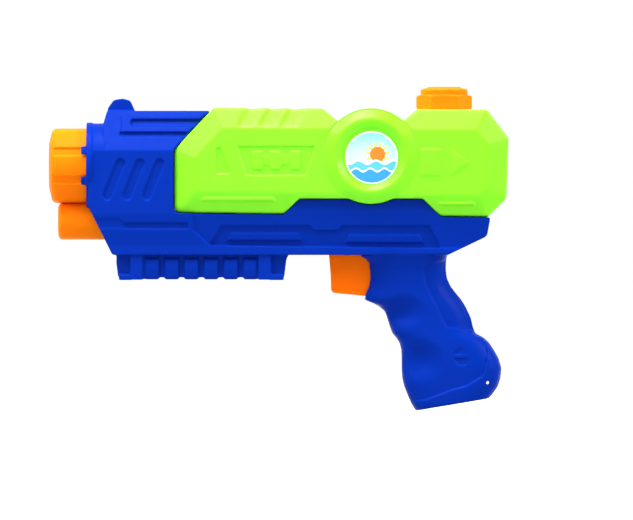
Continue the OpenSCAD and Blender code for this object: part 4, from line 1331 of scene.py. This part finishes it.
@dataclass
class Tank:
    """The green water tank with its filler cap and the two round labels.

    Attributes:
        label_bevel: Rounding of a label's edge, in millimetres.
        label_shift: How far a label is stuck on off the dish's middle, X and Z.
        crisp: Boxes whose details stay crisp: lowest X and Z, and highest X and Z.
        crisp_edge: Width of the change from crisp to soft.
        ridges: Ridges low on the sides: lowest X and Z, and highest X and Z.
        ridge_height: How far they stand out.
        keel: Height of the ridge under the tank that rests on the shells.
        keel_half: Half width of that ridge.
        keel_top: Everything that faces down below this height is the tank's underside.
        drum: Middle of the drum, X and Z.
        drum_radius: The drum's radius.
        ring: Section of the drum's ring: distance from its middle, and from the parting plane.
        ring_side: Where the ring's outer edge meets the tank's sides, from the parting plane.
        ring_top: Where its outer edge is on top of the drum and below it.
        ridge_edge: Slope of a ridge's edge.
        ridge_facing: Share of a normal along Y from which a point is on a tank's side.
        top_turn: Share of the way up the drum between which its ring's edge comes free.
        foot_turn: The same, down the drum.
        ring_curve: How the ring's outer slope is bent.
        ring_facing: Share of a normal along Y from which a point is on the ring.
        ring_depth: Only points beyond these distances from the parting plane are on it.
        ring_start: Width of the ring's inner edge.
        ring_end: How far past the drum the ring begins to end and has ended.
        least_reach: Nearer to the drum's middle than this, no direction is reckoned.
        under_facing: Share of a normal along -Z from which a point is on the underside.
        keel_edge: Width of the keel's edge.
        label_sides: Number of sides of a label.
        crease: Edges of a label sharper than this stay sharp, in degrees.
    """

    label_bevel: float = 0.12
    label_shift: Point = (0.5, -1.0)
    crisp: Sequence[tuple[float, float, float, float]] = (
        (-123.0, 85.0, -61.0, 106.0), (-133.0, 69.5, -86.0, 74.0), (-2.0, 82.0, 31.0, 109.0),
        (9.0, 66.0, 34.0, 72.0))
    crisp_edge: float = 2.0
    ridges: Sequence[tuple[float, float, float, float]] = (
        (-130.5, 71.9, -87.5, 73.9), (11.2, 68.6, 32.0, 70.9))
    ridge_height: float = 0.8
    keel: float = 0.45
    keel_half: float = 7.0
    keel_top: float = 77.0
    drum: Point = (-29.6, 98.2)
    drum_radius: float = 28.6
    ring: Sequence[Point] = (
        (16.4, 26.6), (17.1, 26.6), (19.0, 28.3), (20.5, 29.55), (21.4, 29.9), (22.4, 29.75))
    ring_side: float = 27.4
    ring_top: float = 24.8
    ridge_edge: Point = (-0.3, 0.5)
    ridge_facing: Point = (0.2, 0.5)
    top_turn: Point = (0.45, 0.75)
    foot_turn: Point = (0.75, 0.95)
    ring_curve: float = 1.2
    ring_facing: Point = (0.15, 0.4)
    ring_depth: Point = (23.0, 24.0)
    ring_start: float = 0.4
    ring_end: Point = (0.1, 0.5)
    least_reach: float = 1.0
    under_facing: Point = (0.3, 0.6)
    keel_edge: float = 2.0
    label_sides: int = 96
    crease: float = 40.0

    def build(self, nodes: dict[str, bpy.types.Object], paint: Paint) -> list[bpy.types.Object]:
        """Make the tank, the cap and the labels.

        Args:
            nodes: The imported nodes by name.
            paint: Where materials come from.

        Returns:
            The new pieces.
        """
        return [
            Moulding("water_tank", Body.HOUSING, Slot.GREEN, GREEN, passes=6, zone=self._soft_zone,
                     zone_passes=30, sculpt=self._sculpt).build(nodes, paint),
            Moulding("filler_cap", Body.CAP, Slot.CAP, CAP_ORANGE, voxel=0.28, passes=4,
                     triangles=60_000).build(nodes, paint),
            self._label(Side.LEFT, paint),
            self._label(Side.RIGHT, paint),
        ]

    def _soft_zone(self, points: np.ndarray) -> np.ndarray:
        """Say where the tank's edges are softest: all over, apart from its small details.

        Args:
            points: Rows of X, Y and Z in millimetres.

        Returns:
            A share from 0 to 1 for each point.
        """
        x, z = points[:, 0], points[:, 2]
        soft = np.ones(len(points))
        for low_x, low_z, high_x, high_z in self.crisp:
            outside = np.maximum.reduce([low_x - x, x - high_x, low_z - z, z - high_z])
            soft *= ease(outside, 0.0, self.crisp_edge)
        return soft

    def _sculpt(self, points: np.ndarray, normals: np.ndarray) -> np.ndarray:
        """Raise the ridges, shape the drum's ring and let the underside's middle down onto the shells.

        Args:
            points: Rows of X, Y and Z in millimetres.
            normals: The normals there.

        Returns:
            The moved rows.
        """
        x, y, z = points.T
        moved = points.copy()
        for low_x, low_z, high_x, high_z in self.ridges:
            inside = np.minimum.reduce([x - low_x, high_x - x, z - low_z, high_z - z])
            outer = ease(normals[:, 1] * np.sign(y), *self.ridge_facing)
            moved[:, 1] += np.sign(y) * self.ridge_height * ease(inside, *self.ridge_edge) * outer
        moved[:, 1] += self._ring_shift(points, normals)
        under = ease(-normals[:, 2], *self.under_facing) * (z < self.keel_top)
        middle = 1.0 - ease(np.abs(y), self.keel_half - self.keel_edge, self.keel_half)
        moved[:, 2] -= self.keel * under * middle
        return moved

    def _ring_shift(self, points: np.ndarray, normals: np.ndarray) -> np.ndarray:
        """Find how far points of the drum's ring move along Y to follow its section.

        Args:
            points: Rows of X, Y and Z in millimetres.
            normals: The normals there.

        Returns:
            One distance along Y for each point, in millimetres.
        """
        x, y, z = points.T
        reach = np.hypot(x - self.drum[0], z - self.drum[1])
        turn = (z - self.drum[1]) / np.maximum(reach, self.least_reach)
        free = np.maximum(ease(turn, *self.top_turn), ease(-turn, *self.foot_turn))
        edge = self.ring_side + (self.ring_top - self.ring_side) * free
        crest_reach, crest = self.ring[-1]
        fall = np.clip((reach - crest_reach) / (self.drum_radius - crest_reach), 0.0, 1.0)
        section = np.interp(reach, *zip(*self.ring)) - (crest - edge) * fall ** self.ring_curve
        start = self.ring[0][0]
        first, last = (self.drum_radius + past for past in self.ring_end)
        share = ease(normals[:, 1] * np.sign(y), *self.ring_facing) * ease(np.abs(y), *self.ring_depth)
        share = share * ease(reach, start - self.ring_start, start)
        share = share * (1.0 - ease(reach, first, last))
        return np.sign(y) * (section - np.abs(y)) * share

    def _label(self, side: Side, paint: Paint) -> bpy.types.Object:
        """Make one printed label in the drum's dish.

        Args:
            side: The side of the toy.
            paint: Where materials come from.

        Returns:
            The label.
        """
        name = side.name.lower()
        node = "badge_" + name
        low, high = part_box(node)
        radius = (high.x - low.x) / 2.0
        middle = (low + high) / 2.0 + Vector((self.label_shift[0], 0.0, self.label_shift[1])) * MM
        bpy.ops.object.select_all(action="DESELECT")
        bpy.ops.mesh.primitive_cylinder_add(vertices=self.label_sides, radius=radius, depth=high.y - low.y,
                                            location=middle, rotation=(math.pi / 2.0, 0.0, 0.0))
        label = settle(bpy.context.object, node + "_film")
        with edit_mode(label, selected=False):
            select_faces(label, lambda face: face.normal.y * side.value > FACING)
            bpy.ops.mesh.region_to_loop()
            bpy.ops.mesh.bevel(offset=self.label_bevel * MM, segments=2)
        smooth_shading(label, self.crease)
        paint.coat(label, LabelFinish("label_film_" + name, tuple(middle), radius))
        seat(label, node, Body.HOUSING)
        return label


@dataclass
class FrontEnd:
    """The orange muzzle and lower barrel, and the white nozzle inside.

    Attributes:
        swell: How much the lower barrel is swollen about its axis, to touch the muzzle.
        barrel_edge: Rounding of the lower barrel's front edge, in millimetres.
        plain_turn: From this angle above or below its sides on, the muzzle has no flutes, in degrees.
        muzzle_nose: The muzzle's nose: distance from its front and radius, less the full radius.
        flute_depth: Depth of its flutes, in millimetres.
        collar: X of the collar that the muzzle stands in.
        collar_edge: Width of the change from filled to fluted at the collar.
        clear: The muzzle is at its full radius this far ahead of the collar.
        turn_edge: Width of the change from fluted to plain, in degrees.
        flute_slack: Points this much deeper than a flute aren't on the outside.
        least_reach: Nearer to the muzzle's axis than this, nothing is scaled up more.
        least_arm: The same for the lower barrel's axis.
    """

    swell: float = 1.02
    barrel_edge: float = 2.8
    plain_turn: float = 57.0
    muzzle_nose: Sequence[Point] = ((0.0, -9.0), (1.8, -1.7), (3.2, -0.4), (4.6, 0.0))
    flute_depth: float = 1.2
    collar: float = -200.0
    collar_edge: float = 0.6
    clear: float = 4.0
    turn_edge: float = 2.0
    flute_slack: float = 0.4
    least_reach: float = 1.0
    least_arm: float = 0.1

    def build(self, nodes: dict[str, bpy.types.Object], paint: Paint) -> list[bpy.types.Object]:
        """Make the two orange mouldings and coat the nozzle.

        Args:
            nodes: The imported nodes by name.
            paint: Where materials come from.

        Returns:
            The new pieces.
        """
        paint.coat(nodes["nozzle"], WHITE)
        paint.coat(nodes["nozzle_seal"], RubberFinish())
        return [
            Moulding("muzzle", Body.HOUSING, Slot.BARREL, BARREL_ORANGE, voxel=0.35, passes=6,
                     triangles=90_000, sculpt=self._plain_muzzle).build(nodes, paint),
            Moulding("lower_barrel", Body.HOUSING, Slot.BARREL, BARREL_ORANGE, voxel=0.35, passes=6,
                     triangles=50_000, sculpt=self._shape_barrel).build(nodes, paint),
        ]

    def _plain_muzzle(self, points: np.ndarray, normals: np.ndarray) -> np.ndarray:
        """Fill the flutes on top of the muzzle and below it.

        Args:
            points: Rows of X, Y and Z in millimetres.
            normals: The normals there, which this shape doesn't need.

        Returns:
            The moved rows.
        """
        low, high = (np.array(corner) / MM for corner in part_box("muzzle"))
        x = points[:, 0]
        up = points[:, 2] - high[2] + (high[1] - low[1]) / 2.0
        reach = np.hypot(points[:, 1], up)
        full = reach[x < self.collar - self.clear].max()
        nose = np.interp(x - low[0], *zip(*self.muzzle_nose)) + full
        turn = np.degrees(np.arctan2(np.abs(up), np.abs(points[:, 1])))
        plain = ease(turn, self.plain_turn, self.plain_turn + self.turn_edge)
        share = plain * (1.0 - ease(x, self.collar, self.collar + self.collar_edge))
        share = share * (reach > full - self.flute_depth - self.flute_slack)
        moved = points.copy()
        grown = 1.0 + share * np.maximum(nose - reach, 0.0) / np.maximum(reach, self.least_reach)
        moved[:, 1] = points[:, 1] * grown
        moved[:, 2] = points[:, 2] + up * (grown - 1.0)
        return moved

    def _shape_barrel(self, points: np.ndarray, normals: np.ndarray) -> np.ndarray:
        """Swell the lower barrel a little about its axis and round its front edge.

        Args:
            points: Rows of X, Y and Z in millimetres.
            normals: The normals there, which this shape doesn't need.

        Returns:
            The moved rows.
        """
        low, high = (np.array(corner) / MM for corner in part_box("lower_barrel"))
        axis = (low[1:] + high[1:]) / 2.0
        arm = points[:, 1:] - axis
        reach = np.hypot(arm[:, 0], arm[:, 1])
        full = reach[points[:, 0] < self.collar].max()
        turn = np.clip((self.barrel_edge - points[:, 0] + low[0]) / self.barrel_edge, 0.0, 1.0)
        limit = full - self.barrel_edge * (1.0 - np.sqrt(1.0 - turn ** 2))
        grown = self.swell * np.minimum(1.0, limit / np.maximum(reach, self.least_arm))
        moved = points.copy()
        moved[:, 1:] = axis + arm * grown[:, None]
        return moved


@dataclass
class Coil:
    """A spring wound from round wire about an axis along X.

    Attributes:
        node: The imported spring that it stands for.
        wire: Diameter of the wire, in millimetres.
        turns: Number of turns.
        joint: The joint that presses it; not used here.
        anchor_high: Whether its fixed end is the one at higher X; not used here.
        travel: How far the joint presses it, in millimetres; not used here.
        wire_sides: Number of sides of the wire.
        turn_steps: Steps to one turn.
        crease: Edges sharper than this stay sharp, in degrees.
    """

    node: str
    wire: float
    turns: int
    joint: str
    anchor_high: bool
    travel: float
    wire_sides: int = 10
    turn_steps: int = 24
    crease: float = 40.0

    def build(self, paint: Paint) -> bpy.types.Object:
        """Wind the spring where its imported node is.

        Args:
            paint: Where the steel comes from.

        Returns:
            The spring.
        """
        low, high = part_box(self.node)
        middle = (low + high) / 2.0
        wire = self.wire * MM
        coil_radius = (high.z - low.z - wire) / 2.0
        length = high.x - low.x - wire
        bpy.ops.object.select_all(action="DESELECT")
        bpy.ops.mesh.primitive_circle_add(vertices=self.wire_sides, radius=wire / 2.0,
                                          location=(low.x + wire / 2.0, middle.y, middle.z),
                                          rotation=(math.pi / 2.0, 0.0, 0.0))
        spring = bpy.context.object
        bpy.ops.object.transform_apply(location=False, rotation=True, scale=True)
        with edit_mode(spring):
            bpy.ops.transform.translate(value=(0.0, 0.0, coil_radius))
        steps = self.turn_steps * self.turns
        apply_modifier(spring, "SCREW", axis="X", angle=2.0 * math.pi * self.turns, screw_offset=length,
                       steps=steps, render_steps=steps)
        with edit_mode(spring):
            bpy.ops.mesh.fill_holes(sides=0)
            bpy.ops.mesh.normals_make_consistent(inside=False)
        settle(spring, self.node + "_wire")
        smooth_shading(spring, self.crease)
        paint.coat(spring, SteelFinish())
        seat(spring, self.node, Body.HOUSING)
        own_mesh(spring)
        return spring


@dataclass
class TriggerPump:
    """The trigger and the pump that it works.

    Attributes:
        white_nodes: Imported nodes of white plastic.
        rubber_nodes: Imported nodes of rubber.
        steel_nodes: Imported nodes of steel.
        hose_crease: Edges of the hose sharper than this stay sharp, in degrees.
    """

    white_nodes: Sequence[str] = (
        "plunger", "pump_cylinder", "cylinder_cap", "valve_head", "intake_spigot", "outlet_barb")
    rubber_nodes: Sequence[str] = ("plunger_seal", "head_seal", "tank_grommet", "cap_gasket")
    steel_nodes: Sequence[str] = ("intake_ball", "outlet_ball")
    hose_crease: float = 50.0

    def build(self, nodes: dict[str, bpy.types.Object], paint: Paint) -> list[bpy.types.Object]:
        """Make the trigger, the springs and the hose, and coat the rest of the pump.

        Args:
            nodes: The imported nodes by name.
            paint: Where materials come from.

        Returns:
            The new pieces.
        """
        for names, finish in ((self.white_nodes, WHITE), (self.rubber_nodes, RubberFinish()),
                              (self.steel_nodes, SteelFinish())):
            for name in names:
                paint.coat(nodes[name], finish)
        return [
            Moulding("trigger", Body.TRIGGER, Slot.TRIGGER, TRIGGER_ORANGE, voxel=0.35, passes=8,
                     triangles=60_000).build(nodes, paint),
            Coil("trigger_spring", wire=0.8, turns=6, joint="trigger_slide", anchor_high=True,
                 travel=10.0).build(paint),
            Coil("outlet_spring", wire=0.5, turns=4, joint="outlet_ball_lift", anchor_high=False,
                 travel=1.2).build(paint),
            self._hose(nodes["outlet_tube"], paint),
        ]

    def _hose(self, node: bpy.types.Object, paint: Paint) -> bpy.types.Object:
        """Make the hose to the nozzle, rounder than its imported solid.

        Args:
            node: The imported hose.
            paint: Where its plastic comes from.

        Returns:
            The hose.
        """
        hose = copy_of(node)
        apply_modifier(hose, "SUBSURF", levels=1, render_levels=1)
        settle(hose, "outlet_tube_hose")
        smooth_shading(hose, self.hose_crease)
        paint.coat(hose, HOSE)
        seat(hose, "outlet_tube", Body.HOUSING)
        return hose


# Studio


@dataclass(frozen=True)
class SoftBox:
    """A square area light aimed at the toy.

    Attributes:
        name: The light's name.
        place: Its middle, in metres.
        size: Its width, in metres.
        power: Its power, in watts.
    """

    name: str
    place: tuple[float, float, float]
    size: float
    power: float

    def build(self, target: Vector) -> None:
        """Hang the light and aim it at a point.

        Args:
            target: The point, in metres.
        """
        light = bpy.data.lights.new(self.name, "AREA")
        light.shape = "SQUARE"
        light.size = self.size
        light.energy = self.power
        lamp = bpy.data.objects.new(self.name, light)
        lamp.location = self.place
        lamp.rotation_euler = (target - Vector(self.place)).to_track_quat("-Z", "Y").to_euler()
        bpy.context.scene.collection.objects.link(lamp)


@dataclass
class Studio:
    """A white floor, soft boxes and a long lens square to the toy's left side.

    Attributes:
        scale: Millimetres of the toy to one pixel of the image.
        origin_pixel: Where the frame's origin lies in the image.
        distance: From the lens to the toy's middle plane, in metres.
        sensor: Width of the camera's sensor, in millimetres.
        ambient: Strength of the surroundings' light.
        floor_size: Width of the floor, in metres.
        floor_grey: The floor's shade as the toy sees it.
        floor_white: The floor's shade as the camera sees it, where the light reaches it.
        floor_glow: The floor's own glow as the camera sees it.
        floor_gap: How far the floor lies below the toy's foot, in millimetres.
        far: How far the camera sees, in metres.
        boxes: The soft boxes.
    """

    scale: float = 0.6
    origin_pixel: Point = (420.0, 320.0)
    distance: float = 8.0
    sensor: float = 36.0
    ambient: float = 0.4
    floor_size: float = 40.0
    floor_grey: float = 0.45
    floor_white: float = 0.55
    floor_glow: float = 0.8
    floor_gap: float = 0.2
    far: float = 100.0
    boxes: Sequence[SoftBox] = (
        SoftBox("top_box", (-0.4, -0.4, 1.5), 0.9, 45.0),
        SoftBox("front_box", (-0.3, -2.2, 0.2), 0.6, 5.0),
        SoftBox("left_box", (-1.3, -0.7, 0.9), 0.7, 13.0),
        SoftBox("right_box", (1.4, -0.5, 0.8), 0.7, 24.0),
    )

    def build(self, low: Vector, high: Vector) -> None:
        """Set the floor, the surroundings, the lights and the camera.

        Args:
            low: The toy's lowest corner.
            high: The toy's highest corner.
        """
        target = (low + high) / 2.0
        for box in self.boxes:
            box.build(target)
        self._floor(low.z)
        self._world()
        self._camera()
        bpy.context.scene.view_settings.view_transform = "Standard"

    def _seen(self, tree: bpy.types.NodeTree) -> bpy.types.NodeSocket:
        """Tell rays from the camera, off a shiny surface or through a clear one from the rest.

        Args:
            tree: The node tree that asks.

        Returns:
            1 for these rays and 0 for the rest.
        """
        path = tree.nodes.new("ShaderNodeLightPath")
        seen = path.outputs["Is Camera Ray"]
        for kind in ("Is Glossy Ray", "Is Transmission Ray"):
            either = tree.nodes.new("ShaderNodeMath")
            either.operation = "MAXIMUM"
            tree.links.new(seen, either.inputs[0])
            tree.links.new(path.outputs[kind], either.inputs[1])
            seen = either.outputs[0]
        return seen

    def _floor(self, height: float) -> None:
        """Lay a wide floor under the toy's foot.

        Args:
            height: Height of the foot, in metres.
        """
        bpy.ops.object.select_all(action="DESELECT")
        bpy.ops.mesh.primitive_plane_add(size=self.floor_size,
                                         location=(0.0, 0.0, height - self.floor_gap * MM))
        floor = bpy.context.object
        floor.name = "studio_floor"
        material = bpy.data.materials.new("floor_paint")
        material.use_nodes = True
        tree = material.node_tree
        tree.nodes.clear()
        output = tree.nodes.new("ShaderNodeOutputMaterial")
        mix = tree.nodes.new("ShaderNodeMixShader")
        tree.links.new(self._seen(tree), mix.inputs[0])
        glow = tree.nodes.new("ShaderNodeEmission")
        glow.inputs["Strength"].default_value = self.floor_glow
        lit = tree.nodes.new("ShaderNodeAddShader")
        tree.links.new(glow.outputs["Emission"], lit.inputs[0])
        for shade, end in ((self.floor_grey, mix.inputs[1]), (self.floor_white, lit.inputs[1])):
            paint = tree.nodes.new("ShaderNodeBsdfDiffuse")
            paint.inputs["Color"].default_value = (shade, shade, shade, 1.0)
            tree.links.new(paint.outputs["BSDF"], end)
        tree.links.new(lit.outputs["Shader"], mix.inputs[2])
        tree.links.new(mix.outputs["Shader"], output.inputs["Surface"])
        floor.data.materials.append(material)
        floor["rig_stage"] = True

    def _world(self) -> None:
        """Set white surroundings for the camera and dimmer ones for the light on the toy."""
        world = bpy.data.worlds.new("studio")
        world.use_nodes = True
        bpy.context.scene.world = world
        tree = world.node_tree
        tree.nodes.clear()
        output = tree.nodes.new("ShaderNodeOutputWorld")
        background = tree.nodes.new("ShaderNodeBackground")
        strength = tree.nodes.new("ShaderNodeMapRange")
        tree.links.new(self._seen(tree), strength.inputs["Value"])
        strength.inputs["To Min"].default_value = self.ambient
        tree.links.new(strength.outputs["Result"], background.inputs["Strength"])
        background.inputs["Color"].default_value = (1.0, 1.0, 1.0, 1.0)
        tree.links.new(background.outputs["Background"], output.inputs["Surface"])

    def _camera(self) -> None:
        """Set a long lens that frames the toy as the image does."""
        camera = bpy.data.cameras.new("camera")
        view = bpy.data.objects.new("camera", camera)
        middle = ((IMAGE_WIDTH / 2.0 - self.origin_pixel[0]) * self.scale * MM,
                  (self.origin_pixel[1] - IMAGE_HEIGHT / 2.0) * self.scale * MM)
        view.location = (middle[0], -self.distance, middle[1])
        view.rotation_euler = (math.pi / 2.0, 0.0, 0.0)
        camera.sensor_width = self.sensor
        camera.lens = self.sensor * self.distance / (IMAGE_WIDTH * self.scale * MM)
        camera.clip_end = self.far
        bpy.context.scene.collection.objects.link(view)
        bpy.context.scene.camera = view


def main() -> None:
    """Build every sub-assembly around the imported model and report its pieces."""
    logging.basicConfig(level=logging.INFO, format="%(name)s: %(message)s")
    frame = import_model()
    low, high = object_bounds()
    paint = Paint()
    Studio().build(low, high)
    for assembly in (FrontEnd(), Housing(), Tank(), TriggerPump()):
        for piece in assembly.build(frame["nodes"], paint):
            LOG.info("%s: %d faces", piece.name, len(piece.data.polygons))


if __name__ == "__main__":
    main()
